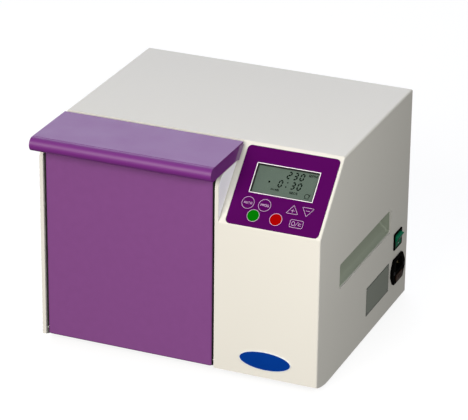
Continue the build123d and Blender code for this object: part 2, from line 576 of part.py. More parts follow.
with BuildPart() as bearing_stands:
    for x in X_BEAR:
        with BuildSketch(Plane.YZ.offset(x - STAND_T / 2)):
            with BuildLine():
                b = BEARING_R
                Polyline((Y_CRANK - 42, Z_RAIL), (Y_CRANK + 42, Z_RAIL), (Y_CRANK + b + 8, CRANK_Z),
                         (Y_CRANK + b + 8, CRANK_Z + b), (Y_CRANK + b, CRANK_Z + b + 8), (Y_CRANK - b, CRANK_Z + b + 8),
                         (Y_CRANK - b - 8, CRANK_Z + b), (Y_CRANK - b - 8, CRANK_Z), close=True)
            make_face()
            with Locations((Y_CRANK, CRANK_Z)):
                Rectangle(2 * BEARING_R, 2 * BEARING_R, mode=Mode.SUBTRACT)
        extrude(amount=STAND_T)
bearing_stands.part.label = "bearing_stands"
export_step(bearing_stands.part, "parts/bearing_stands.step")

# posts that guide the back ends of the rods
with BuildPart() as rod_guides:
    for x in PADDLE_X:
        with BuildSketch(Plane.XZ.offset(-Y_TAIL)):
            with BuildLine():
                g = ROD_R + 6
                Polyline((x - 22, Z_RAIL), (x + 22, Z_RAIL), (x + g, CRANK_Z), (x + g, CRANK_Z + 7), (x + 7, CRANK_Z + g),
                         (x - 7, CRANK_Z + g), (x - g, CRANK_Z + 7), (x - g, CRANK_Z), close=True)
            make_face()
            with Locations((x, CRANK_Z)):
                Circle(ROD_R + RUN, mode=Mode.SUBTRACT)
        extrude(amount=-TAIL_POST)
rod_guides.part.label = "rod_guides"
export_step(rod_guides.part, "parts/rod_guides.step")

with BuildPart() as shaft_bearings:
    for x in X_BEAR:
        with BuildSketch(Plane.YZ.offset(x - BEARING_W / 2)):
            with Locations((Y_CRANK, CRANK_Z)):
                Rectangle(2 * BEARING_R, 2 * BEARING_R)
                Circle(SHAFT_R + RUN, mode=Mode.SUBTRACT)
        extrude(amount=BEARING_W)
shaft_bearings.part.label = "shaft_bearings"
export_step(shaft_bearings.part, "parts/shaft_bearings.step")

with BuildPart() as crankshaft:
    with BuildSketch(Plane.YZ.offset(X_BEAR[0] - BEARING_W / 2 - CRANK_STUB)):
        with Locations((Y_CRANK, CRANK_Z)):
            Circle(SHAFT_R)
    extrude(amount=X_PULLEY + PULLEY_W + 3 - X_BEAR[0] + BEARING_W / 2 + CRANK_STUB)
    for x, up in zip(PADDLE_X, (1, -1)):
        with BuildSketch(Plane.YZ.offset(x - YOKE_T / 2)):
            with Locations((Y_CRANK, CRANK_Z + up * STROKE)):
                Circle(ECC_R)
        extrude(amount=YOKE_T)
crankshaft.part.label = "crankshaft"
export_step(crankshaft.part, "parts/crankshaft.step")

for label, y, z, r, bore in (("driven_pulley", Y_CRANK, CRANK_Z, PULLEY_R, SHAFT_R),
                             ("motor_pulley", Y_MOTOR, MOTOR_Z, MOTOR_PULLEY_R, MOTOR_SHAFT_R)):
    with BuildPart() as pulley:
        with BuildSketch(Plane.YZ.offset(X_PULLEY)):
            with Locations((y, z)):
                Circle(r)
                Circle(bore, mode=Mode.SUBTRACT)
        extrude(amount=PULLEY_W)
    pulley.part.label = label
    export_step(pulley.part, "parts/" + label + ".step")

# belt round both pulleys, as the hull of two circles
span = hypot(MOTOR_Y - CRANK_Y, MOTOR_Z - CRANK_Z)
swing = atan2(MOTOR_Z - CRANK_Z, MOTOR_Y - CRANK_Y)
wrap = atan2(((PULLEY_R - MOTOR_PULLEY_R) ** 2 / (span ** 2 - (PULLEY_R - MOTOR_PULLEY_R) ** 2)) ** 0.5, 1)


def on_circle(y, z, r, angle):
    return (y + r * cos(angle), z + r * sin(angle))


with BuildPart() as belt:
    for grow, mode in ((BELT_T + CLEAR, Mode.ADD), (CLEAR, Mode.SUBTRACT)):
        with BuildSketch(Plane.YZ.offset(X_PULLEY + (PULLEY_W - BELT_W) / 2)):
            with BuildLine():
                up, dn = swing + 1.5708 - wrap, swing - 1.5708 + wrap
                big = ThreePointArc(on_circle(Y_CRANK, CRANK_Z, PULLEY_R + grow, up),
                                    on_circle(Y_CRANK, CRANK_Z, PULLEY_R + grow, swing + 3.14159),
                                    on_circle(Y_CRANK, CRANK_Z, PULLEY_R + grow, dn))
                small = ThreePointArc(on_circle(Y_MOTOR, MOTOR_Z, MOTOR_PULLEY_R + grow, dn),
                                      on_circle(Y_MOTOR, MOTOR_Z, MOTOR_PULLEY_R + grow, swing),
                                      on_circle(Y_MOTOR, MOTOR_Z, MOTOR_PULLEY_R + grow, up))
                Line(big @ 1, small @ 0)
                Line(small @ 1, big @ 0)
            make_face()
        extrude(amount=BELT_W, mode=mode)
belt.part.label = "belt"
export_step(belt.part, "parts/belt.step")

# ---------------------------------------------------------------- motor
X_M1 = X_PULLEY - 6
with BuildPart() as motor:
    with BuildSketch(Plane.YZ.offset(X_M1 - BRACKET_T)):
        with Locations((Y_MOTOR, MOTOR_Z)):
            Circle(MOTOR_R)
    extrude(amount=-MOTOR_LEN)
    with BuildSketch(Plane.YZ.offset(X_M1 - BRACKET_T)):
        with Locations((Y_MOTOR, MOTOR_Z)):
            Circle(MOTOR_SHAFT_R + 8)
    extrude(amount=BRACKET_T)
    with BuildSketch(Plane.YZ.offset(X_M1)):
        with Locations((Y_MOTOR, MOTOR_Z)):
            Circle(MOTOR_SHAFT_R + RUN)
    extrude(amount=-24, mode=Mode.SUBTRACT)
motor.part.label = "motor"
export_step(motor.part, "parts/motor.step")

with BuildPart() as motor_shaft:
    with BuildSketch(Plane.YZ.offset(X_M1 - 22)):
        with Locations((Y_MOTOR, MOTOR_Z)):
            Circle(MOTOR_SHAFT_R)
    extrude(amount=X_PULLEY + PULLEY_W + 2 - X_M1 + 22)
motor_shaft.part.label = "motor_shaft"
export_step(motor_shaft.part, "parts/motor_shaft.step")

with BuildPart() as motor_bracket:
    with BuildSketch(Plane.YZ.offset(X_M1 - BRACKET_T)):
        with Locations((Y_MOTOR, (Z_BASE + MOTOR_Z + MOTOR_R) / 2)):
            Rectangle(2 * MOTOR_R + 10, MOTOR_Z + MOTOR_R - Z_BASE)
        with Locations((Y_MOTOR, MOTOR_Z)):
            Circle(MOTOR_SHAFT_R + 8, mode=Mode.SUBTRACT)
    extrude(amount=BRACKET_T)
    with BuildSketch(Plane.XY.offset(Z_BASE)):
        with Locations((X_M1 - BRACKET_T - 25, Y_MOTOR)):
            Rectangle(50, 2 * MOTOR_R + 10)
    extrude(amount=BRACKET_T)
motor_bracket.part.label = "motor_bracket"
export_step(motor_bracket.part, "parts/motor_bracket.step")

# ---------------------------------------------------------------- control deck: printed panel, keys, display, board
def triangle_face(base, height):
    """Triangle on the deck: middle of the base, and the height towards the apex."""
    with BuildSketch(mode=Mode.PRIVATE) as sk:
        with BuildLine():
            Polyline((base[0] - TRI_W / 2, base[1]), (base[0] + TRI_W / 2, base[1]), (base[0], base[1] + height), close=True)
        make_face()
    return sk.sketch


def set_face(grow):
    """Rounded rectangle of the set key, grown by a gap."""
    with BuildSketch(mode=Mode.PRIVATE) as sk:
        with Locations(SET_KEY):
            RectangleRounded(SET_W + 2 * grow, SET_H + 2 * grow, SET_R)
    return sk.sketch


def disc_face(place, grow):
    """Disc of a round key, grown by a gap."""
    with BuildSketch(mode=Mode.PRIVATE) as sk:
        with Locations(place):
            Circle(KEY_R + grow)
    return sk.sketch


key_faces = {name: disc_face(place, 0) for name, place in ROUND_KEYS.items()}
key_faces["key_up"] = triangle_face(UP_KEY, TRI_H)
key_faces["key_down"] = triangle_face(DOWN_KEY, -TRI_H)
key_faces["key_set"] = set_face(0)
key_middle = dict(ROUND_KEYS)
key_middle["key_up"] = (UP_KEY[0], UP_KEY[1] + TRI_H / 3)
key_middle["key_down"] = (DOWN_KEY[0], DOWN_KEY[1] - TRI_H / 3)
key_middle["key_set"] = SET_KEY

with BuildPart() as control_panel:
    with BuildSketch(deck):
        with Locations(((PANEL_X0 + PANEL_X1) / 2, (PANEL_S0 + PANEL_S1) / 2)):
            RectangleRounded(PANEL_X1 - PANEL_X0, PANEL_S1 - PANEL_S0, PANEL_R)
        with Locations((WIN_X, WIN_S)):
            Rectangle(WIN_W, WIN_H, mode=Mode.SUBTRACT)
        for face in key_faces.values():
            add(offset(face, KEY_GAP, kind=Kind.INTERSECTION, mode=Mode.PRIVATE), mode=Mode.SUBTRACT)
    extrude(amount=PANEL_T)
control_panel.part.label = "control_panel"
export_step(control_panel.part, "parts/control_panel.step")

for name, face in key_faces.items():
    with BuildPart() as key:
        with BuildSketch(deck.offset(-KEY_DEPTH)):
            add(face)
        extrude(amount=KEY_DEPTH + PANEL_T + KEY_PROUD)
    key.part.label = name
    export_step(key.part, "parts/" + name + ".step")

with BuildPart() as display_window:
    with BuildSketch(deck.offset(PANEL_T - 0.6)):
        with Locations((WIN_X, WIN_S)):
            Rectangle(WIN_W, WIN_H)
    extrude(amount=0.5)
display_window.part.label = "display_window"
export_step(display_window.part, "parts/display_window.step")

GLASS_EDGE = 4.0
with BuildPart() as display_module:
    with BuildSketch(deck.offset(-PCB_DROP)):
        with Locations((WIN_X, WIN_S)):
            Rectangle(WIN_W + 2 * GLASS_EDGE, WIN_H + 2 * GLASS_EDGE)
    extrude(amount=PCB_DROP - SHEET)
display_module.part.label = "display_module"
export_step(display_module.part, "parts/display_module.step")

SWITCH_GAP = 0.1
with BuildPart() as control_board:
    with BuildSketch(deck.offset(-PCB_DROP - PCB_T)):
        with Locations(((PANEL_X0 + PANEL_X1) / 2, (PANEL_S0 + PANEL_S1) / 2 - 4)):
            Rectangle(PANEL_X1 - PANEL_X0 - 4, PANEL_S1 - PANEL_S0 - 16)
    extrude(amount=PCB_T)
    with BuildSketch(deck.offset(-PCB_DROP)):
        with Locations(((PANEL_X0 + PANEL_X1) / 2, (PANEL_S0 + PANEL_S1) / 2 - 4)):
            with GridLocations(PANEL_X1 - PANEL_X0 - 12, PANEL_S1 - PANEL_S0 - 24, 2, 2):
                Rectangle(4.5, 4.5)
    extrude(amount=PCB_DROP - SHEET)
    with BuildSketch(deck.offset(-PCB_DROP)):
        with Locations(*key_middle.values()):
            Rectangle(6, 6)
    extrude(amount=PCB_DROP - KEY_DEPTH - KEY_TRAVEL - SWITCH_GAP)
control_board.part.label = "control_board"
export_step(control_board.part, "parts/control_board.step")

POWER_W, POWER_L, POWER_LIFT = 92.0, 150.0, 8.0
X_POWER = X_DECK + 14 + POWER_W / 2
Y_POWER = YF + TOE_RUN + 20 + POWER_L / 2
with BuildPart() as power_board:
    with BuildSketch(Plane.XY.offset(Z_BASE)):
        with Locations((X_POWER, Y_POWER)):
            with GridLocations(POWER_W - 12, POWER_L - 12, 2, 2):
                Rectangle(6, 6)
    extrude(amount=POWER_LIFT)
    with BuildSketch(Plane.XY.offset(Z_BASE + POWER_LIFT)):
        with Locations((X_POWER, Y_POWER)):
            Rectangle(POWER_W, POWER_L)
    extrude(amount=PCB_T)
    with BuildSketch(Plane.XY.offset(Z_BASE + POWER_LIFT + PCB_T)):
        with Locations((X_POWER - 16, Y_POWER + 40)):
            Rectangle(46, 52)
    extrude(amount=40)
    with BuildSketch(Plane.XY.offset(Z_BASE + POWER_LIFT + PCB_T)):
        with Locations((X_POWER + 26, Y_POWER + 48)):
            Circle(12)
    extrude(amount=34)
    with BuildSketch(Plane.XY.offset(Z_BASE + POWER_LIFT + PCB_T)):
        with Locations((X_POWER, Y_POWER - 40)):
            Rectangle(70, 4)
            with GridLocations(22, 0, 4, 1):
                Rectangle(3, 24)
    extrude(amount=30)
power_board.part.label = "power_board"
export_step(power_board.part, "parts/power_board.step")

# ---------------------------------------------------------------- hand recess cups behind both side walls
CUP_UP = 7.0                          # finger room above the recess's upper edge
for label, xw, d, y0, deep in (("hand_cup_right", XR - SHEET, -1, RECESS_Y0, CUP_DEPTH),
                               ("hand_cup_left", XL + SHEET, 1, LEFT_CUP_Y0, LEFT_CUP_DEPTH)):
    y0, y1 = YF + y0, YF + RECESS_Y1
    xb = xw + d * deep
    with BuildPart() as cup:
        with BuildSketch(Plane.XZ.offset(-(y0 - CUP_T))):
            with BuildLine():
                out = Line((xw, RECESS_Z0 - CUP_T), (xw + d * 4, RECESS_Z0 - CUP_T))
                ramp = Line(out @ 1, (xb + d * CUP_T, RECESS_Z1 - 14))
                Polyline(ramp @ 1, (xb + d * CUP_T, RECESS_Z1 + CUP_UP + CUP_T), (xw, RECESS_Z1 + CUP_UP + CUP_T), out @ 0)
            make_face()
        extrude(amount=-(y1 - y0 + 2 * CUP_T))
        with BuildSketch(Plane.YZ.offset(xw)):
            with Locations(((y0 + y1) / 2, (RECESS_Z0 + RECESS_Z1 + CUP_UP) / 2)):
                Rectangle(y1 - y0 + 2 * CUP_FLANGE, RECESS_Z1 + CUP_UP - RECESS_Z0 + 2 * CUP_FLANGE)
        extrude(amount=d * CUP_T)
        with BuildSketch(Plane.XZ.offset(-y0)):
            with BuildLine():
                a = Line((xw - d, RECESS_Z0), (xw, RECESS_Z0))
                b = TangentArc(a @ 1, (xw + d * 7, RECESS_Z0 + 5.5), tangent=(d, 0.25))
                c = Line(b @ 1, (xb - d * 6, RECESS_Z1 - 15))
                e = TangentArc(c @ 1, (xb, RECESS_Z1 - 6), tangent=c % 1)
                Polyline(e @ 1, (xb, RECESS_Z1 + CUP_UP), (xw - d, RECESS_Z1 + CUP_UP), a @ 0)
            make_face()
        extrude(amount=-(y1 - y0), mode=Mode.SUBTRACT)
    cup.part.label = label
    export_step(cup.part, "parts/" + label + ".step")

# ---------------------------------------------------------------- rocker switch
Y_SW = YF + SWITCH_Y
FLAT = 2.0                            # pressed half of the rocker above the wall
AXLE_IN = 4.0
HALF = ROCKER_H / 2
TIP_T = 5.5                           # rocker's end faces
with BuildPart() as switch_bezel:
    with BuildSketch(Plane.YZ.offset(XR)):
        with Locations((Y_SW, SWITCH_Z)):
            Rectangle(BEZEL_W, BEZEL_H)
    extrude(amount=BEZEL_T)
    chamfer(switch_bezel.faces().sort_by(Axis.X)[-1].edges(), 0.6)
    with BuildSketch(Plane.YZ.offset(XR)):
        with Locations((Y_SW, SWITCH_Z)):
            Rectangle(BEZEL_W - 2 * BEZEL_LIP, BEZEL_H - 2 * BEZEL_LIP)
    extrude(amount=-SWITCH_BODY)
    with BuildSketch(Plane.YZ.offset(XR + BEZEL_T)):
        with Locations((Y_SW, SWITCH_Z)):
            Rectangle(ROCKER_W + 2 * CLEAR, ROCKER_H + 2 * ROCKER_ROOM)
    extrude(amount=-BEZEL_T - 13, mode=Mode.SUBTRACT)
    with BuildSketch(Plane.XZ.offset(-Y_SW)):
        with Locations((XR - AXLE_IN, SWITCH_Z)):
            Circle(1.5)
    extrude(amount=ROCKER_W / 2 + CLEAR, both=True)
switch_bezel.part.label = "switch_bezel"
export_step(switch_bezel.part, "parts/switch_bezel.step")

# two flat halves that meet in a shallow V, drawn level and turned about the axle to the rest position, upper half out
lean = asin((SWITCH_PROUD - FLAT) / HALF) / 2
valley = (AXLE_IN + FLAT) / cos(lean)
axle = Plane(origin=(XR - AXLE_IN, Y_SW, SWITCH_Z), x_dir=(cos(lean), 0, -sin(lean)), z_dir=(0, -1, 0))
with BuildPart() as switch_rocker:
    with BuildSketch(axle):
        with BuildLine():
            tip_x, tip_y = valley + HALF * sin(lean), HALF * cos(lean)
            Polyline((tip_x, -tip_y), (valley, 0), (tip_x, tip_y), (tip_x - TIP_T, tip_y), (-3, tip_y - 4), (-4, 0),
                     (-3, 4 - tip_y), (tip_x - TIP_T, -tip_y), close=True)
        make_face()
        Circle(1.5 + RUN, mode=Mode.SUBTRACT)
    extrude(amount=ROCKER_W / 2, both=True)
switch_rocker.part.label = "switch_rocker"
export_step(switch_rocker.part, "parts/switch_rocker.step")

# ---------------------------------------------------------------- mains inlet with fuse drawer
Y_IN = YF + INLET_Y
EAR = 9.0
TOP_W = 34.0
PIN_Y = 7.0
with BuildPart() as mains_inlet:
    with BuildSketch(Plane.YZ.offset(XR)):
        with BuildLine():
            Polyline((Y_IN - TOP_W / 2, INLET_Z + INLET_H / 2), (Y_IN + TOP_W / 2, INLET_Z + INLET_H / 2),
                     (Y_IN + INLET_W / 2, INLET_Z + EAR / 2), (Y_IN + INLET_W / 2, INLET_Z - EAR / 2),
                     (Y_IN + TOP_W / 2, INLET_Z - INLET_H / 2), (Y_IN - TOP_W / 2, INLET_Z - INLET_H / 2),
                     (Y_IN - INLET_W / 2, INLET_Z - EAR / 2), (Y_IN - INLET_W / 2, INLET_Z + EAR / 2), close=True)
        make_face()
    extrude(amount=INLET_T)
    chamfer(mains_inlet.faces().sort_by(Axis.X)[-1].edges(), 0.8)
    with BuildSketch(Plane.YZ.offset(XR)):
        with Locations((Y_IN, INLET_Z)):
            Rectangle(INLET_BODY_W, INLET_BODY_H)
    extrude(amount=-INLET_BODY)
    with BuildSketch(Plane.YZ.offset(XR + INLET_T)):
        with BuildLine():
            zs = INLET_Z + SOCKET_UP
            Polyline((Y_IN - SOCKET_W / 2, zs - SOCKET_H / 2), (Y_IN + SOCKET_W / 2, zs - SOCKET_H / 2),
                     (Y_IN + SOCKET_W / 2, zs + SOCKET_H / 2 - 5), (Y_IN + SOCKET_W / 2 - 5, zs + SOCKET_H / 2),
                     (Y_IN - SOCKET_W / 2 + 5, zs + SOCKET_H / 2), (Y_IN - SOCKET_W / 2, zs + SOCKET_H / 2 - 5), close=True)
        make_face()
        with Locations((Y_IN, INLET_Z - DRAWER_DOWN)):
            Rectangle(DRAWER_W, DRAWER_H)
    extrude(amount=-SOCKET_DEPTH, mode=Mode.SUBTRACT)
    with BuildSketch(Plane.YZ.offset(XR + INLET_T)):
        with Locations((Y_IN, INLET_Z - DRAWER_DOWN)):
            Rectangle(DRAWER_W, DRAWER_H)
    extrude(amount=-DRAWER_LEN, mode=Mode.SUBTRACT)
mains_inlet.part.label = "mains_inlet"
export_step(mains_inlet.part, "parts/mains_inlet.step")

with BuildPart() as inlet_pins:
    with BuildSketch(Plane.YZ.offset(XR + INLET_T - SOCKET_DEPTH)):
        with Locations((Y_IN - PIN_Y, zs - 2), (Y_IN, zs + 2), (Y_IN + PIN_Y, zs - 2)):
            Rectangle(2, 4)
    extrude(amount=SOCKET_DEPTH - 3)
inlet_pins.part.label = "inlet_pins"
export_step(inlet_pins.part, "parts/inlet_pins.step")

with BuildPart() as fuse_drawer:
    with BuildSketch(Plane.YZ.offset(XR + INLET_T - DRAWER_LEN + CLEAR)):
        with Locations((Y_IN, INLET_Z - DRAWER_DOWN)):
            Rectangle(DRAWER_W - 2 * CLEAR, DRAWER_H - 2 * CLEAR)
    extrude(amount=DRAWER_LEN - CLEAR + DRAWER_PROUD)
    with BuildSketch(Plane.XY.offset(INLET_Z - DRAWER_DOWN + DRAWER_H / 2 - CLEAR)):
        with Locations((XR + INLET_T - 9, Y_IN)):
            Rectangle(14, DRAWER_W - 6)
    extrude(amount=-(DRAWER_H - 3), mode=Mode.SUBTRACT)
    with BuildSketch(Plane.YZ.offset(XR + INLET_T + DRAWER_PROUD)):
        with Locations((Y_IN, INLET_Z - DRAWER_DOWN)):
            Rectangle(10, 2)
    extrude(amount=0.6)
fuse_drawer.part.label = "fuse_drawer"
export_step(fuse_drawer.part, "parts/fuse_drawer.step")

# ---------------------------------------------------------------- bare rating plate and bare badge
with BuildPart() as rating_plate:
    with BuildSketch(Plane.YZ.offset(XR)):
        with Locations((YF + (PLATE_Y0 + PLATE_Y1) / 2, (PLATE_Z0 + PLATE_Z1) / 2)):
            Rectangle(PLATE_Y1 - PLATE_Y0, PLATE_Z1 - PLATE_Z0)
    extrude(amount=PLATE_T)
rating_plate.part.label = "rating_plate"
export_step(rating_plate.part, "parts/rating_plate.step")

with BuildPart() as badge:
    with BuildSketch(Plane.XZ.offset(-YF)):
        with Locations((X_DECK + BADGE_X, BADGE_Z)):
            Ellipse(BADGE_W / 2, BADGE_H / 2)
    extrude(amount=BADGE_T)
badge.part.label = "badge"
export_step(badge.part, "parts/badge.step")
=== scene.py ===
"""Bench paddle blender: finishes, printed controls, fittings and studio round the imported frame.

Metres, +X right, +Y back, +Z up, bench at Z 0, as in the frame.
"""

import json
import logging
import math
from dataclasses import dataclass, replace
from enum import Enum

import bmesh
import bpy
import numpy as np
from mathutils import Matrix, Vector

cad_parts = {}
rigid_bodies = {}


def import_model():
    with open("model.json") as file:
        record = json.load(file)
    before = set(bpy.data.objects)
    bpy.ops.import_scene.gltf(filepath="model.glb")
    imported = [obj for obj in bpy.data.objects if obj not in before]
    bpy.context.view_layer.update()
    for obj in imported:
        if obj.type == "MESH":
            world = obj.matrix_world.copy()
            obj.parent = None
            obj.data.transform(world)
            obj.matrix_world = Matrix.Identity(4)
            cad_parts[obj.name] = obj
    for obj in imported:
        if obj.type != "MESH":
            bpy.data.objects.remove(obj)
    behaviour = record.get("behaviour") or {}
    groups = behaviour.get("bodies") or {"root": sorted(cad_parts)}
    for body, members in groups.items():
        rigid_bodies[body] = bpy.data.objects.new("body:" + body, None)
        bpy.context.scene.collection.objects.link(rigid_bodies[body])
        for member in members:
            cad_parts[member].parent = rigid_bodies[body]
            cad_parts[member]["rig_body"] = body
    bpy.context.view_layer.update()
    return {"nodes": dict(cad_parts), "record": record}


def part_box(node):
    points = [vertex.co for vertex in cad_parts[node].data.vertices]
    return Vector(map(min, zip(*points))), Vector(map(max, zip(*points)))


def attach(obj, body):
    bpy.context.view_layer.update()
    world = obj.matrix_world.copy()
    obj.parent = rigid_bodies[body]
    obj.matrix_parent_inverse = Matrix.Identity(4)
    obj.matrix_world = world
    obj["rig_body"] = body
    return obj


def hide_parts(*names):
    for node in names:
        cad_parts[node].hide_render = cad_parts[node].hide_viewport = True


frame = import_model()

LOG = logging.getLogger("paddle_blender")
MM = 0.001
MERGE_DISTANCE = 2e-6
FLAT_ANGLE = math.radians(0.6)
SUNK = 0.01
Colour = tuple[float, float, float]
Point = tuple[float, float, float]
Spot = tuple[float, float]
Shell = tuple[np.ndarray, list]


# ---------------------------------------------------------------- work places
@dataclass(frozen=True)
class Place:
    """A flat work place: an origin in metres and unit axes along, up and out of a surface."""

    origin: Point
    along: Point
    up: Point
    out: Point

    def put(self, local: np.ndarray) -> np.ndarray:
        """World points of local millimetres: origin + along * u + up * v + out * w."""
        return np.asarray(self.origin) + local @ np.array([self.along, self.up, self.out]) * MM

    def at(self, u: float, v: float, w: float = 0.0) -> "Place":
        """The same axes at the local point (u, v, w), in millimetres."""
        moved = self.put(np.array([[u, v, w]]))[0]
        return replace(self, origin=tuple(float(c) for c in moved))

    def turned(self, degrees: float) -> "Place":
        """The same origin with its axes turned about the outward one.

        Args:
            degrees: turn, anticlockwise seen from outside.
        Returns:
            The turned place.
        """
        c, s = math.cos(math.radians(degrees)), math.sin(math.radians(degrees))
        a, u = np.array(self.along), np.array(self.up)
        return replace(self, along=tuple(a * c + u * s), up=tuple(u * c - a * s))


@dataclass(frozen=True)
class Datum:
    """The frame's own measures, read from its nodes, and the few that its boxes don't give."""

    deck_u0: float
    left: float
    front: float
    top: float
    cheek: float = 5.0 * MM
    deck_fall: float = 84.0 * MM
    deck_run: float = 84.5 * MM

    @classmethod
    def read(cls) -> "Datum":
        """Reads the casing's box; the deck starts beside the chamber's right wall."""
        low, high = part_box("casing")
        return cls(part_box("chamber_tray")[1].x + cls.cheek, low.x, low.y, high.z)

    def section(self, x: float) -> Place:
        """The upright plane at x, measured back from the front plane and up from the bench, facing right."""
        return Place((x, self.front, 0), (0, 1, 0), (0, 0, 1), (1, 0, 0))

    @property
    def deck(self) -> Place:
        """The sloped control deck, from its lower left corner.

        Returns:
            Its place.
        """
        run = math.hypot(self.deck_run, self.deck_fall)
        c, s = self.deck_run / run, self.deck_fall / run
        return Place((self.deck_u0, self.front, self.top - self.deck_fall), (1, 0, 0), (0, c, s), (0, -s, c))


# ---------------------------------------------------------------- outlines and shells
def angles(sides: int) -> np.ndarray:
    """Even steps round the circle, in radians."""
    return np.arange(sides) * 2 * np.pi / sides


def disc(radius: float, sides: int, squash: float = 1.0) -> np.ndarray:
    """Ellipse outline: (r cos t, squash r sin t) for t round the circle."""
    t = angles(sides)
    return np.stack([radius * np.cos(t), squash * radius * np.sin(t)], 1)


def rounded(corners: np.ndarray, radius: float, steps: int = 6) -> np.ndarray:
    """Outline whose corners are arcs.

    At each corner of an anticlockwise outline the arc's centre lies one radius inside both edges, and the
    arc turns through the angle between them.

    Args:
        corners: (k, 2) points, anticlockwise.
        radius: arc radius.
        steps: points on each arc.
    Returns:
        (k * steps, 2) points.
    """
    corners = np.asarray(corners, float)
    before, after = corners - np.roll(corners, 1, 0), np.roll(corners, -1, 0) - corners
    before /= np.linalg.norm(before, axis=1)[:, None]
    after /= np.linalg.norm(after, axis=1)[:, None]
    turn = np.arctan2(before[:, 0] * after[:, 1] - before[:, 1] * after[:, 0], (before * after).sum(1))
    inward = np.stack([-before[:, 1], before[:, 0]], 1)
    centre = corners - before * (radius * np.tan(turn / 2))[:, None] + inward * radius
    angle = np.arctan2(-inward[:, 1], -inward[:, 0])[:, None] + turn[:, None] * np.linspace(0, 1, steps)
    arc = np.stack([np.cos(angle), np.sin(angle)], 2) * radius
    return (centre[:, None] + arc).reshape(-1, 2)


def box_outline(width: float, height: float, radius: float = 0.0, steps: int = 6) -> np.ndarray:
    """Rectangle outline about the origin: the corners lie at plus and minus half of each side.

    Args:
        width: size along.
        height: size up.
        radius: corner radius, or 0 for sharp corners.
        steps: points on each corner's arc.
    Returns:
        (k, 2) points, anticlockwise.
    """
    w, h = width / 2, height / 2
    corners = np.array([[-w, -h], [w, -h], [w, h], [-w, h]])
    return rounded(corners, radius, steps) if radius else corners


def inset(outline: np.ndarray, depth: float) -> np.ndarray:
    """Outline moved inwards.

    Each point slides along the mean normal of its two edges, stretched by one over the cosine of half the
    turn.

    Args:
        outline: (k, 2) points, anticlockwise.
        depth: how far inwards, or outwards if negative.
    Returns:
        (k, 2) points.
    """
    after = np.roll(outline, -1, 0) - outline
    after /= np.linalg.norm(after, axis=1)[:, None]
    normal = np.stack([-after[:, 1], after[:, 0]], 1)
    mean = normal + np.roll(normal, 1, 0)
    mean /= (mean**2).sum(1)[:, None] / 2
    return outline + mean * depth


def quads(rows: int, cols: int, close_rows: bool = False) -> list:
    """Corner numbers of a grid's faces: face (r, c) joins columns c and c + 1 of rows r and r + 1.

    Args:
        rows: rings of points.
        cols: points in each ring, which closes on itself.
        close_rows: whether the last ring joins the first.
    Returns:
        Faces of four corner numbers.
    """
    r, c = np.meshgrid(np.arange(rows if close_rows else rows - 1), np.arange(cols), indexing="ij")
    r2, c2 = (r + 1) % rows, (c + 1) % cols
    return np.stack([r * cols + c, r * cols + c2, r2 * cols + c2, r2 * cols + c], -1).reshape(-1, 4).tolist()


def capped(rows: int, cols: int) -> list:
    """Faces of a grid of rings with a flat face on its first and its last ring."""
    return quads(rows, cols) + [list(range(cols))[::-1], list(range(cols * (rows - 1), cols * rows))]


def stacked(outline: np.ndarray, steps: list[Spot]) -> Shell:
    """Closed body from one outline: each ring is the outline inset and lifted, and both ends are flat.

    Args:
        outline: (k, 2) points, anticlockwise.
        steps: inset and height of each ring.
    Returns:
        Points and faces.
    """
    rings = [np.column_stack([inset(outline, d), np.full(len(outline), h)]) for d, h in steps]
    return np.concatenate(rings), capped(len(rings), len(outline))


def band(outline: np.ndarray, width: float, low: float, high: float) -> Shell:
    """Closed frame: a rectangle carried round the outline.

    Args:
        outline: (k, 2) points, anticlockwise.
        width: the rectangle's width, inwards from the outline.
        low: its lower height.
        high: its upper height.
    Returns:
        Points and faces.
    """
    inner = inset(outline, width)
    rings = [np.column_stack([o, np.full(len(o), h)]) for o, h in
             ((outline, low), (outline, high), (inner, high), (inner, low))]
    return np.concatenate(rings), quads(4, len(outline), close_rows=True)


def prisms(outlines: np.ndarray, low: float, high: float) -> Shell:
    """One prism on each outline: its sides join the outline at both heights, and flat faces close it.

    Args:
        outlines: (k, n, 2) points.
        low: height of the lower faces.
        high: height of the upper faces.
    Returns:
        Points and faces.
    """
    k, n, _ = outlines.shape
    flat = outlines.reshape(-1, 2)
    points = np.concatenate([np.column_stack([flat, np.full(k * n, h)]) for h in (low, high)])
    first = np.arange(k)[:, None] * n
    ring = np.arange(n)
    nxt = (ring + 1) % n
    sides = np.stack([first + ring, first + nxt, first + nxt + k * n, first + ring + k * n], -1)
    faces = sides.reshape(-1, 4).tolist() + (first + ring[::-1]).tolist() + (first + ring + k * n).tolist()
    return points, faces


def revolved(profile: np.ndarray, sides: int) -> Shell:
    """Closed body of revolution: (r cos t, r sin t, h) for each row (r, h) of the profile.

    Args:
        profile: (k, 2) radii and heights.
        sides: points round the axis.
    Returns:
        Points and faces.
    """
    t = angles(sides)
    r, h = profile[:, 0][:, None], profile[:, 1][:, None]
    rings = np.stack([r * np.cos(t), r * np.sin(t), h + 0 * t], -1).reshape(-1, 3)
    return rings, capped(len(profile), sides)


def bars(ends: np.ndarray, width: float) -> np.ndarray:
    """Outlines of straight strokes: both ends moved by half the width to each side of the run.

    Args:
        ends: (k, 4) rows of x0, y0, x1, y1.
        width: stroke width.
    Returns:
        (k, 4, 2) rectangles.
    """
    ends = np.asarray(ends, float)
    a, b = ends[:, :2], ends[:, 2:]
    run = (b - a) / np.linalg.norm(b - a, axis=1)[:, None]
    side = np.stack([-run[:, 1], run[:, 0]], 1) * width / 2
    return np.stack([a - side, b - side, b + side, a + side], 1)


def joined(*shells: Shell) -> Shell:
    """Several shells as one, each shell's corner numbers moved on by the points before it.

    Args:
        shells: points and faces of each.
    Returns:
        Points and faces of all.
    """
    points, faces, count = [], [], 0
    for p, f in shells:
        points.append(p)
        faces += [[i + count for i in face] for face in f]
        count += len(p)
    return np.concatenate(points), faces


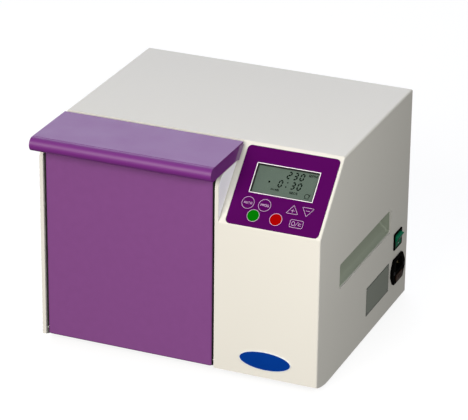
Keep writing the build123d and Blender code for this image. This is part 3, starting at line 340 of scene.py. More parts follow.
# ---------------------------------------------------------------- finishes
DRIFT_DETAIL = 3.0
PEEL_DETAIL = 2.0
GRAIN_DETAIL = 4.0
SMOOTHEST = 0.02


class Relief(Enum):
    """The fine surface relief of a finish."""

    PEEL = "rolling dimples of sprayed powder coat"
    BRUSH = "fine parallel lines"
    CAST = "coarse grain of a sand casting"
    MOULD = "fine spark-eroded mould texture"
    SMOOTH = "a trace of unevenness"


@dataclass(frozen=True)
class Finish:
    """A procedural finish: a base colour that drifts, a roughness that drifts, and a fine relief.

    The drift is slow noise between a darker and a lighter shade; the relief is fast noise as bump height.
    """

    name: str
    colour: Colour
    rough: float
    metal: float = 0.0
    relief: Relief = Relief.SMOOTH
    depth: float = 0.02 * MM
    pitch: float = 1.0 * MM
    drift: float = 0.05
    spread: float = 0.06
    rough_drift: float = 0.05
    coat: float = 0.0
    coat_rough: float = 0.08
    specular: float = 0.5
    alpha: float = 1.0
    brush: Point = (1.0, 40.0, 40.0)

    def material(self) -> bpy.types.Material:
        """The finish as a node material, made once."""
        found = bpy.data.materials.get("finish_" + self.name)
        return found or self._make()

    def _make(self) -> bpy.types.Material:
        """Builds the node tree: object coordinates, slow noise to colour and roughness, fast noise to bump.

        Returns:
            The material.
        """
        mat = bpy.data.materials.new("finish_" + self.name)
        mat.use_nodes = True
        mat.diffuse_color = (*self.colour, 1)
        tree = mat.node_tree
        shader = tree.nodes["Principled BSDF"]
        shader.inputs["Metallic"].default_value = self.metal
        shader.inputs["Specular IOR Level"].default_value = self.specular
        shader.inputs["Coat Weight"].default_value = self.coat
        shader.inputs["Coat Roughness"].default_value = self.coat_rough
        shader.inputs["Alpha"].default_value = self.alpha
        place = tree.nodes.new("ShaderNodeTexCoord").outputs["Object"]
        slow = self._noise(tree, place, 1 / self.spread, DRIFT_DETAIL)
        shades = tree.nodes.new("ShaderNodeMix")
        shades.data_type = "RGBA"
        shades.inputs["A"].default_value = (*(c * (1 - self.drift) for c in self.colour), 1)
        shades.inputs["B"].default_value = (*(min(1.0, c * (1 + self.drift)) for c in self.colour), 1)
        tree.links.new(slow, shades.inputs["Factor"])
        tree.links.new(shades.outputs["Result"], shader.inputs["Base Color"])
        streak = place
        if self.relief is Relief.BRUSH:
            stretch = tree.nodes.new("ShaderNodeMapping")
            stretch.inputs["Scale"].default_value = self.brush
            tree.links.new(place, stretch.inputs["Vector"])
            streak = stretch.outputs["Vector"]
        detail = PEEL_DETAIL if self.relief is Relief.PEEL else GRAIN_DETAIL
        fast = self._noise(tree, streak, 1 / self.pitch, detail)
        rough = tree.nodes.new("ShaderNodeMapRange")
        rough.inputs["To Min"].default_value = max(SMOOTHEST, self.rough - self.rough_drift)
        rough.inputs["To Max"].default_value = min(1.0, self.rough + self.rough_drift)
        tree.links.new(fast if self.relief is Relief.BRUSH else slow, rough.inputs["Value"])
        tree.links.new(rough.outputs["Result"], shader.inputs["Roughness"])
        bump = tree.nodes.new("ShaderNodeBump")
        bump.inputs["Strength"].default_value = 1.0
        bump.inputs["Distance"].default_value = self.depth
        tree.links.new(fast, bump.inputs["Height"])
        tree.links.new(bump.outputs["Normal"], shader.inputs["Normal"])
        return mat

    @staticmethod
    def _noise(tree: bpy.types.NodeTree, place: bpy.types.NodeSocket, scale: float,
               detail: float) -> bpy.types.NodeSocket:
        """Adds a noise to a node tree.

        Args:
            tree: the node tree.
            place: the coordinates it is read at.
            scale: cells a metre.
            detail: octaves of finer noise.
        Returns:
            Its height's socket.
        """
        noise = tree.nodes.new("ShaderNodeTexNoise")
        noise.inputs["Scale"].default_value = scale
        noise.inputs["Detail"].default_value = detail
        tree.links.new(place, noise.inputs["Vector"])
        return noise.outputs["Fac"]


CREAM = Finish("cream_powder_coat", (0.62, 0.605, 0.555), 0.55, relief=Relief.PEEL, depth=0.035 * MM,
               pitch=1.6 * MM, drift=0.012, spread=0.12, specular=0.14)
# Painted light: a bluish white far lighter than the cream paint, standing in for the bright light on the
# chamber wall's face above the deck.
PAINTED_LIGHT_WHITE = Finish("painted_light_wall_sheet", (0.89, 0.895, 0.925), 0.5, relief=Relief.PEEL, depth=0.02 * MM,
                     pitch=1.6 * MM, drift=0.012, spread=0.05, specular=0.14)
DOOR_PURPLE = Finish("purple_powder_coat", (0.168, 0.049, 0.189), 0.45, specular=0.3, relief=Relief.PEEL,
                     depth=0.035 * MM, pitch=1.5 * MM, spread=0.01)
HANDLE_PURPLE = Finish("purple_gloss_coat", (0.130, 0.009, 0.160), 0.50, relief=Relief.PEEL, depth=0.02 * MM,
                       pitch=1.8 * MM, drift=0.03, spread=0.03)
# Painted shade: a greyed, lighter copy of the handle's purple for the strips behind its ends, standing in for
# shade with purple bounce light.
HANDLE_EDGE_PAINTED_SHADE = Finish("mauve_painted_shade_edge", (0.22, 0.14, 0.235), 0.5, specular=0.3, relief=Relief.PEEL,
                     pitch=1.8 * MM, spread=0.01)
PANEL_FILM = Finish("printed_film", (0.064, 0.0006, 0.074), 0.5, specular=0.03, relief=Relief.MOULD,
                    depth=0.01 * MM, pitch=0.35 * MM, drift=0.04, spread=0.02)
GREEN_INK = Finish("green_key_ink", (0.0, 0.125, 0.0), 0.5, specular=0.02, relief=Relief.MOULD,
                   depth=0.01 * MM, pitch=0.35 * MM)
RED_INK = Finish("red_key_ink", (0.265, 0.0, 0.0), 0.5, specular=0.02, relief=Relief.MOULD, depth=0.01 * MM,
                 pitch=0.35 * MM)
PALE_INK = Finish("pale_line_ink", (0.60, 0.42, 0.61), 0.40, relief=Relief.MOULD, depth=0.005 * MM,
                  pitch=0.3 * MM)
WHITE_INK = Finish("white_line_ink", (0.83, 0.78, 0.83), 0.40, relief=Relief.MOULD, depth=0.005 * MM,
                   pitch=0.3 * MM)
DISPLAY_FACE = Finish("display_face", (0.106, 0.146, 0.120), 0.40, specular=0.15, spread=0.03,
                      depth=0.005 * MM)
DISPLAY_INK = Finish("display_segment", (0.001, 0.004, 0.002), 0.5, specular=0.05, depth=0.005 * MM)
CLEAR = Finish("clear_window", (0.02, 0.025, 0.02), 0.06, alpha=0.08, depth=0.002 * MM, drift=0.01)
# Partly a black gasket and partly painted shade: the dark liner and step in the display window's recess.
GASKET_AND_SHADE = Finish("window_gasket_and_shade", (0.008, 0.008, 0.008), 0.7, relief=Relief.MOULD, depth=0.02 * MM,
                pitch=0.5 * MM)
BADGE_BLUE = Finish("badge_enamel", (0.0, 0.030, 0.215), 0.35, specular=0.06, depth=0.01 * MM, drift=0.06,
                    spread=0.02)
BADGE_RIM = Finish("badge_rim", (0.62, 0.66, 0.72), 0.3, depth=0.01 * MM)
PLATE_GREY = Finish("rating_plate_foil", (0.215, 0.232, 0.20), 0.5, metal=0.1, specular=0.15,
                    relief=Relief.BRUSH, depth=0.01 * MM, pitch=8 * MM, brush=(1.0, 1.0, 40.0))
PLATE_DARK = Finish("rating_plate_border", (0.035, 0.04, 0.035), 0.4, depth=0.005 * MM)
CUP_GREY = Finish("grey_moulding", (0.285, 0.318, 0.25), 0.6, specular=0.2, relief=Relief.MOULD,
                  depth=0.05 * MM, pitch=0.7 * MM)
BLACK = Finish("black_moulding", (0.002, 0.0018, 0.0016), 0.5, specular=0.006, relief=Relief.MOULD,
               depth=0.03 * MM, pitch=0.5 * MM)
ROCKER_GREEN = Finish("green_rocker", (0.002, 0.16, 0.075), 0.4, specular=0.04, depth=0.01 * MM)
# Painted shade: a near-black green laid over the rocker's faces where they stand in shade.
ROCKER_PAINTED_SHADE = Finish("rocker_painted_shade", (0.004, 0.022, 0.014), 0.35, specular=0.12, depth=0.01 * MM)
DRAWER_BROWN = Finish("brown_moulding", (0.030, 0.014, 0.008), 0.4, specular=0.12, relief=Relief.MOULD,
                      depth=0.03 * MM, pitch=0.5 * MM)
RUBBER = Finish("black_rubber", (0.016, 0.015, 0.014), 0.75, specular=0.12, relief=Relief.MOULD,
                depth=0.06 * MM, pitch=0.8 * MM)
PAD = Finish("grey_rubber_pad", (0.27, 0.27, 0.262), 0.7, relief=Relief.MOULD, depth=0.08 * MM,
             pitch=1.0 * MM, drift=0.08)
STAINLESS = Finish("brushed_stainless", (0.56, 0.56, 0.55), 0.30, metal=1.0, relief=Relief.BRUSH,
                   depth=0.008 * MM, pitch=6 * MM, rough_drift=0.1)
STEEL = Finish("bright_steel", (0.50, 0.50, 0.50), 0.24, metal=1.0, depth=0.01 * MM, drift=0.08)
BLACKENED = Finish("blackened_steel", (0.02, 0.02, 0.022), 0.35, metal=0.6, depth=0.01 * MM)
ZINC = Finish("passivated_zinc", (0.55, 0.55, 0.50), 0.38, metal=0.9, relief=Relief.CAST, depth=0.02 * MM,
              pitch=2.5 * MM, drift=0.15, spread=0.02, rough_drift=0.12)
ALLOY = Finish("cast_alloy", (0.50, 0.50, 0.50), 0.5, metal=0.9, relief=Relief.CAST, depth=0.12 * MM,
               pitch=1.2 * MM, drift=0.1)
TURNED = Finish("turned_alloy", (0.56, 0.56, 0.56), 0.28, metal=1.0, relief=Relief.BRUSH, depth=0.01 * MM,
                pitch=6 * MM, brush=(40.0, 1.0, 1.0))
BRONZE = Finish("oiled_bronze", (0.42, 0.26, 0.10), 0.35, metal=1.0, drift=0.12, spread=0.01)
BRASS = Finish("brass_pin", (0.62, 0.47, 0.20), 0.22, metal=1.0, drift=0.06, spread=0.005)
BOARD = Finish("green_board", (0.012, 0.10, 0.035), 0.4, coat=0.2, drift=0.25, spread=0.004, depth=0.03 * MM)
MOTOR = Finish("motor_enamel", (0.035, 0.04, 0.048), 0.42, relief=Relief.CAST, depth=0.06 * MM,
               pitch=1.4 * MM)

SLOT_FINISH: dict[str, Finish] = {
    "cream_paint": CREAM, "zinc_plate": ZINC, "foot_rubber": RUBBER, "stainless": STAINLESS, "steel": STEEL,
    "bush_bronze": BRONZE, "seal_rubber": RUBBER, "cast_alloy": ALLOY, "belt_rubber": RUBBER,
    "motor_shell": MOTOR, "panel_film": PANEL_FILM, "clear_window": CLEAR, "display_face": DISPLAY_FACE,
    "board_green": BOARD, "cup_grey": CUP_GREY, "black_plastic": BLACK, "brass_pin": BRASS,
    "plate_grey": PLATE_GREY, "badge_blue": BADGE_BLUE, "purple_door": DOOR_PURPLE, "pad_rubber": PAD,
    "purple_handle": HANDLE_PURPLE, "pulley_alloy": TURNED, "rocker_green": ROCKER_GREEN,
    "drawer_brown": DRAWER_BROWN, "key_film": PANEL_FILM, "key_green": GREEN_INK, "key_red": RED_INK,
}


# ---------------------------------------------------------------- pieces
def node_slot(node: str) -> str:
    """The record's material slot of a CAD node."""
    return next(p["material_slot"] for p in frame["record"]["subparts"] if p["node"] == node)


def node_body(node: str) -> str:
    """The body that a CAD node rides on."""
    return frame["nodes"][node]["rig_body"]


class Workshop:
    """Makes objects from shells and from CAD nodes, dresses them and puts them on their bodies."""

    def __init__(self) -> None:
        """Starts with nothing made."""
        self.made: list[str] = []

    def piece(self, name: str, place: Place, shell: Shell, finish: Finish, body: str, slot: str | None = None,
              crease: float = 40.0) -> bpy.types.Object:
        """Makes one piece from a shell in a work place.

        Args:
            name: the piece's name.
            place: where the shell's millimetres are measured.
            shell: points and faces.
            finish: its finish.
            body: the body it rides on.
            slot: the record's slot that its finish comes from, if any; not used.
            crease: edges that turn by more degrees than this stay sharp.
        Returns:
            The object, at the origin.
        """
        points, faces = shell
        mesh = bpy.data.meshes.new(name)
        mesh.from_pydata(place.put(points).tolist(), [], faces)
        work = bmesh.new()
        work.from_mesh(mesh)
        bmesh.ops.recalc_face_normals(work, faces=work.faces)
        work.to_mesh(mesh)
        work.free()
        return self._finish(name, mesh, finish, body, crease)

    @staticmethod
    def _merged(node: str) -> bmesh.types.BMesh:
        """A CAD node's triangles with their corners joined and their flat faces made whole.

        Args:
            node: the CAD node.
        Returns:
            The merged copy, to be freed by the caller.
        """
        work = bmesh.new()
        work.from_mesh(frame["nodes"][node].data)
        bmesh.ops.remove_doubles(work, verts=work.verts, dist=MERGE_DISTANCE)
        bmesh.ops.dissolve_limit(work, angle_limit=FLAT_ANGLE, verts=work.verts, edges=work.edges)
        return work

    def _stand_in(self, node: str, work: bmesh.types.BMesh, finish: Finish, width: float,
                  segments: int) -> tuple[bpy.types.Object, bpy.types.BevelModifier]:
        """Makes the object that replaces a CAD node, with a bevel whose edges the caller picks.

        Args:
            node: the CAD node.
            work: its merged copy, which is freed.
            finish: its finish.
            width: the bevel's width, in millimetres.
            segments: faces across it.
        Returns:
            The object and its bevel.
        """
        mesh = bpy.data.meshes.new(node + "_shell")
        work.to_mesh(mesh)
        work.free()
        obj = self._finish(node + "_body", mesh, finish, node_body(node), None)
        bevel = obj.modifiers.new("rolled_edge", "BEVEL")
        bevel.width = width * MM
        bevel.segments = segments
        obj.modifiers.new("flat_faces", "WEIGHTED_NORMAL").weight = 100
        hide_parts(node)
        return obj, bevel

    def soften(self, node: str, finish: Finish, roll: float, crease: float = 34.0,
               rounds: int = 2) -> bpy.types.Object:
        """Stands a merged copy of a CAD node with rolled edges in for the node.

        Args:
            node: the CAD node.
            finish: its finish.
            roll: radius of the rolled edges, in millimetres.
            crease: edges that turn by more degrees than this are rolled.
            rounds: faces across a rolled edge.
        Returns:
            The object that replaces the node.
        """
        obj, edge = self._stand_in(node, self._merged(node), finish, roll, rounds)
        edge.limit_method = "ANGLE"
        edge.angle_limit = math.radians(crease)
        return obj

    def soft_pocket(self, node: str, finish: Finish, radius: float, crease: float = 30.0,
                    rounds: int = 6) -> bpy.types.Object:
        """Stands a merged copy of a CAD node in for the node, with its pocket's inner corners filled round.

        An edge lies in the pocket where it is hollow and both its faces look towards the middle of the node's
        box.

        Args:
            node: the CAD node.
            finish: its finish.
            radius: radius of the filled corners, in millimetres.
            crease: edges that turn by more degrees than this are filled.
            rounds: faces across a filled corner.
        Returns:
            The object that replaces the node.
        """
        low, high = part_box(node)
        middle = (Vector(low) + Vector(high)) / 2
        work = self._merged(node)
        weight = work.edges.layers.float.new("bevel_weight_edge")
        for edge in work.edges:
            if edge.is_manifold and not edge.is_convex and edge.calc_face_angle(0.0) > math.radians(crease):
                to_middle = middle - (edge.verts[0].co + edge.verts[1].co) / 2
                if all(face.normal.dot(to_middle) > 0 for face in edge.link_faces):
                    edge[weight] = 1.0
        flange = [face for face in work.faces if len(face.verts) > 4 and abs(face.normal.x) > 0.9]
        bmesh.ops.triangulate(work, faces=flange)
        obj, fill = self._stand_in(node, work, finish, radius, rounds)
        fill.limit_method = "WEIGHT"
        return obj

    def _finish(self, name: str, mesh: bpy.types.Mesh, finish: Finish, body: str,
                crease: float | None) -> bpy.types.Object:
        """Links an object for the mesh, shades and dresses it and puts it on its body.

        Args:
            name: the piece's name.
            mesh: its mesh, in world metres.
            finish: its finish.
            body: the body it rides on.
            crease: edges that turn by more degrees than this stay sharp; None leaves them smooth.
        Returns:
            The object.
        """
        obj = bpy.data.objects.new(name, mesh)
        bpy.context.scene.collection.objects.link(obj)
        mesh.shade_smooth()
        if crease is not None:
            mesh.set_sharp_from_angle(angle=math.radians(crease))
        mesh.materials.clear()
        mesh.materials.append(finish.material())
        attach(obj, body)
        self.made.append(name)
        LOG.info("%s on %s: %d faces, %s", name, body, len(mesh.polygons), finish.name)
        return obj

    def dress(self, node: str, finish: Finish) -> None:
        """Gives a CAD node's own object a finish in every material slot.

        Args:
            node: the CAD node.
            finish: its finish.
        """
        slots = frame["nodes"][node].data.materials
        for i in range(max(1, len(slots))):
            if i < len(slots):
                slots[i] = finish.material()
            else:
                slots.append(finish.material())
        LOG.info("%s: %s", node, finish.name)


# ---------------------------------------------------------------- sheet metal, door and handle
@dataclass
class DoorTrim:
    """Black rubber lips down both sides of the door, in its gaps to the chamber walls, whose black also
    stands in for the shade in those gaps. Millimetres.
    """

    shop: Workshop
    proud: float = 1.1
    depth: float = 7.0
    sunk: float = 0.2
    back: float = 1.6
    short: float = 0.8
    taper: Spot = (0.3, 0.5)

    def build(self) -> None:
        """Each lip is half a bead's profile, (proud cos t, depth / 2 sin t), drawn down the door's side."""
        low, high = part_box("door_shell")
        half = self.depth / 2
        t = np.linspace(-np.pi / 2, np.pi / 2, 13)
        bead = np.stack([self.proud * np.cos(t), half * np.sin(t)], 1)
        bead = np.concatenate([bead, [[-self.sunk, half], [-self.sunk, -half]]])
        length = (high.z - low.z) / MM - 2 * self.short
        narrow, over = self.taper
        shell = stacked(bead, [(narrow, 0.0), (0.0, over), (0.0, length - over), (narrow, length)])
        # The black lips are partly painted shade for the dark gaps beside the door.
        for name, x, way in (("door_lip_right", high.x, 1), ("door_lip_left", low.x, -1)):
            start = (x, low.y + (self.back + half) * MM, low.z + self.short * MM)
            self.shop.piece(name, Place(start, (way, 0, 0), (0, 1, 0), (0, 0, 1)), shell, RUBBER, "door")


@dataclass
class WallCorners:
    """Sheet corners that carry both chamber walls up behind the handle's ends.

    Millimetres, from the front plane and the bench.
    """

    shop: Workshop
    datum: Datum
    thick: float = 3.7
    inward: float = 0.8
    ease: float = 0.4
    outline: tuple[Spot, ...] = ((51.6, 288.0), (84.2, 288.0), (84.2, 305.0), (68.6, 305.0))

    def build(self) -> None:
        """One outline drawn through the thickness of each wall, its long edges eased."""
        thick, ease = self.thick, self.ease
        steps = [(ease, 0.0), (0.0, ease), (0.0, thick - ease), (ease, thick)]
        shell = stacked(np.array(self.outline), steps)
        for name, x in (("wall_corner_right", self.datum.deck_u0 - (thick + self.inward) * MM),
                        ("wall_corner_left", self.datum.left + self.inward * MM)):
            self.shop.piece(name, self.datum.section(x), shell, CREAM, "machine")


@dataclass
class WallFace:
    """A thin sheet on the chamber wall's face above the deck, in a bluish white that is painted light for the
    bright light falling on this face.

    Millimetres, from the front plane and the bench.
    """

    shop: Workshop
    datum: Datum
    thick: float = 0.3
    ease: float = 0.2
    sunk: float = 0.1
    corner: float = 18.0
    foot: Spot = (1.3, 229.0)
    top: float = 287.2
    end: float = 59.6

    def build(self) -> None:
        """The outline goes up the wall's front edge, round its corner, back, and down the deck's line."""
        t = np.radians(np.linspace(180, 90, 13))
        y, z = self.foot[0] + self.corner, self.top - self.corner
        arc = np.stack([y + self.corner * np.cos(t), z + self.corner * np.sin(t)], 1)
        outline = np.concatenate([[self.foot], arc, [[self.end, self.top]]])[::-1]
        sheet = stacked(outline, [(0, -self.sunk), (0, self.sunk), (self.ease, self.thick)])
        place = self.datum.section(self.datum.deck_u0)
        # The sheet's bluish white is painted light, not the wall's own colour.
        self.shop.piece("wall_face_right", place, sheet, PAINTED_LIGHT_WHITE, "machine")


@dataclass
class HandleFlanges:
    """Bent strips behind the slanted back edges of the handle's ends, in a greyed, lighter purple that paints
    the shade and purple bounce light seen there. Millimetres, from the front plane.
    """

    shop: Workshop
    datum: Datum
    start: Spot = (51.2, 290.0)
    slope: float = 23.0
    reach: float = 9.0
    sheet: float = 1.2
    sunk: float = 0.1
    flare_right: float = 2.0
    flare_left: float = 0.0

    def build(self) -> None:
        """Draws each strip's section along the slanted edge; it flares as the square of the way back."""
        low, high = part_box("handle_shell")
        rise = math.sqrt(0.5)
        y, z = self.start
        t = np.linspace(0, 1, 9)
        for name, x, way, flare in (("handle_flange_right", high.x - self.sunk * MM, 1, self.flare_right),
                                    ("handle_flange_left", low.x + self.sunk * MM, -1, self.flare_left)):
            outer = np.stack([self.reach * t, flare * t**2], 1)
            section = np.concatenate([outer, (outer - [0, self.sheet])[::-1]])
            place = Place((x, self.datum.front + y * MM, z * MM), (0, 1, 0), (way, 0, 0), (0, rise, rise))
            # The strips' mauve-grey colour is painted shade with purple bounce light.
            self.shop.piece(name, place, stacked(section, [(0, 0.0), (0, self.slope)]), HANDLE_EDGE_PAINTED_SHADE, "handle")


@dataclass
class Bodywork:
    """The sheet parts, by the radius of their rolled edges, and both hand recesses. Millimetres."""

    shop: Workshop
    rolls: tuple[tuple[str, float], ...] = (
        ("casing", 0.7), ("back_panel", 0.35), ("base_plate", 0.35), ("chamber_tray", 0.3),
        ("door_shell", 0.8), ("door_plate", 0.3), ("handle_shell", 0.9), ("handle_arms", 0.5),
        ("paddle_left", 0.8), ("paddle_right", 0.8), ("latch_tongues", 0.3))
    recesses: tuple[str, ...] = ("hand_cup_right", "hand_cup_left")
    recess_corner: float = 3.0

    def build(self) -> None:
        """Stands softened copies in for the sheet parts that show."""
        for node, roll in self.rolls:
            self.shop.soften(node, SLOT_FINISH[node_slot(node)], roll)
        for node in self.recesses:
            self.shop.soft_pocket(node, CUP_GREY, self.recess_corner)


# ---------------------------------------------------------------- controls
class Glyph(Enum):
    """Which of the seven bars, from the top round to the middle one, each figure lights."""

    ZERO = (0, 1, 2, 3, 4, 5)
    TWO = (0, 1, 6, 4, 3)
    THREE = (0, 1, 6, 2, 3)


STROKES: dict[str, tuple] = {
    "A": ((0, 0, 1, 4), (1, 4, 2, 0), (0.4, 1.4, 1.6, 1.4)),
    "C": ((2, 4, 0, 4), (0, 4, 0, 0), (0, 0, 2, 0)),
    "E": ((2, 4, 0, 4), (0, 4, 0, 0), (0, 0, 2, 0), (0, 2, 1.7, 2)),
    "G": ((2, 4, 0, 4), (0, 4, 0, 0), (0, 0, 2, 0), (2, 0, 2, 2), (2, 2, 1.1, 2)),
    "I": ((1, 0, 1, 4),),
    "M": ((0, 0, 0, 4), (0, 4, 1, 1.6), (1, 1.6, 2, 4), (2, 4, 2, 0)),
    "N": ((0, 0, 0, 4), (0, 4, 2, 0), (2, 0, 2, 4)),
    "O": ((0, 0, 0, 4), (0, 4, 2, 4), (2, 4, 2, 0), (2, 0, 0, 0)),
    "P": ((0, 0, 0, 4), (0, 4, 2, 4), (2, 4, 2, 2), (2, 2, 0, 2)),
    "R": ((0, 0, 0, 4), (0, 4, 2, 4), (2, 4, 2, 2), (2, 2, 0, 2), (0.8, 2, 2, 0)),
    "S": ((2, 4, 0, 4), (0, 4, 0, 2), (0, 2, 2, 2), (2, 2, 2, 0), (2, 0, 0, 0)),
    "T": ((0, 4, 2, 4), (1, 4, 1, 0)),
    "U": ((0, 4, 0, 0), (0, 0, 2, 0), (2, 0, 2, 4)),
}
LETTER_HALF = 0.34


def word_strokes(word: str, height: float, pitch: float, weight: float) -> np.ndarray:
    """Outlines of a plain word in straight strokes, centred on the origin.

    Each letter's strokes lie on a grid two wide and four high, stretched to the letter's width and height.

    Args:
        word: capitals of the stroke table.
        height: capital height.
        pitch: from one letter to the next; half a letter's width is a fixed share of it.
        weight: stroke width.
    Returns:
        (k, 4, 2) outlines.
    """
    cell = [pitch * LETTER_HALF, height / 4] * 2
    ends = [np.array(STROKES[letter]) * cell + [i * pitch, 0, i * pitch, 0] for i, letter in enumerate(word)]
    middle = [(len(word) - 1) * pitch / 2 + pitch * LETTER_HALF, height / 2]
    return bars(np.concatenate(ends), weight) - middle


@dataclass
class Display:
    """Dark figures, dots, captions and a loop mark. Places are shares of the window, sizes millimetres."""

    shop: Workshop
    corner: Place
    window: Spot
    inked: Spot = (0.02, 0.05)
    digit: Spot = (6.2, 11.0)
    stroke: float = 1.95
    gap: float = 0.22
    slant: float = 0.16
    figures: tuple[tuple[Glyph, float, float], ...] = (
        (Glyph.TWO, 0.527, 0.785), (Glyph.THREE, 0.629, 0.785), (Glyph.ZERO, 0.731, 0.785),
        (Glyph.ZERO, 0.424, 0.455), (Glyph.THREE, 0.627, 0.455), (Glyph.ZERO, 0.728, 0.455))
    dots: tuple[Point, ...] = ((0.532, 0.53, 1.0), (0.520, 0.38, 1.0), (0.243, 0.464, 1.5))
    captions: tuple[tuple[str, str, float, float, float], ...] = (
        ("unit_speed", "RPM", 0.893, 0.875, 4.3), ("unit_minutes", "MINS", 0.365, 0.23, 3.0),
        ("unit_seconds", "SECS", 0.665, 0.215, 3.0))
    caption_shape: Spot = (0.8, 0.95)
    thin: float = 0.8
    loop_place: Spot = (0.885, 0.125)
    loop_lift: float = 2.6
    loop_radii: Spot = (3.5, 3.4)
    loop_arc: Spot = (-50.0, 235.0)
    loop_hole: float = 0.72
    loop_bars: tuple[tuple[float, ...], ...] = ((-3.4, -3.3, 3.2, -3.3), (3.6, 0.6, 3.6, 3.2))

    def build(self) -> None:
        """Makes the figures with their dots, the captions and the loop mark."""
        w, h = self.window
        lit = [self._digit(glyph) + [a * w, b * h] for glyph, a, b in self.figures]
        dots = [stacked(disc(r, 20) + [a * w, b * h], [(0, z) for z in self.inked]) for a, b, r in self.dots]
        self._ink("display_figures", self.corner, prisms(np.concatenate(lit), *self.inked), *dots)
        tall, pitch = self.caption_shape
        for name, word, a, b, size in self.captions:
            strokes = word_strokes(word, size * tall, size * pitch, self.thin)
            self._ink(name, self.corner.at(a * w, b * h), prisms(strokes, *self.inked))
        self._loop([self.loop_place[0] * w, self.loop_place[1] * h + self.loop_lift])

    def _ink(self, name: str, place: Place, *shells: Shell) -> None:
        """Makes one dark piece of the display from shells."""
        self.shop.piece(name, place, joined(*shells), DISPLAY_INK, "machine")

    def _digit(self, glyph: Glyph) -> np.ndarray:
        """Bars of one figure: pointed six-sided strokes round a cell, leaning by the slant times the height.

        Args:
            glyph: the figure.
        Returns:
            (k, 6, 2) outlines.
        """
        w, h = self.digit
        s, g = self.stroke / 2, self.gap
        a, b = w / 2 - s, h / 2 - s
        flat = np.array([[-a + g, 0], [-a + g + s, s], [a - g - s, s],
                         [a - g, 0], [a - g - s, -s], [-a + g + s, -s]])
        tall = np.array([[0, g], [s, g + s], [s, b - g - s], [0, b - g], [-s, b - g - s], [-s, g + s]])
        drop = tall * [1, -1]
        every = [flat + [0, b], tall + [a, 0], drop + [a, 0], flat - [0, b],
                 drop - [a, 0], tall - [a, 0], flat]
        lit = np.stack([every[i] for i in glyph.value])
        lit[..., 0] += self.slant * lit[..., 1]
        return lit

    def _loop(self, centre: list[float]) -> None:
        """The loop mark: an open arc, (a cos t, b sin t), a line below it and a tick beside it.

        Args:
            centre: the arc's centre from the window's corner.
        """
        t = np.radians(np.linspace(*self.loop_arc, 30))
        arc = np.stack([np.cos(t), np.sin(t)], 1) * self.loop_radii
        ring = np.concatenate([arc, arc[::-1] * self.loop_hole]) + centre
        strokes = bars(np.array(self.loop_bars), self.thin) + centre
        self._ink("display_loop", self.corner, prisms(ring[None], *self.inked), prisms(strokes, *self.inked))


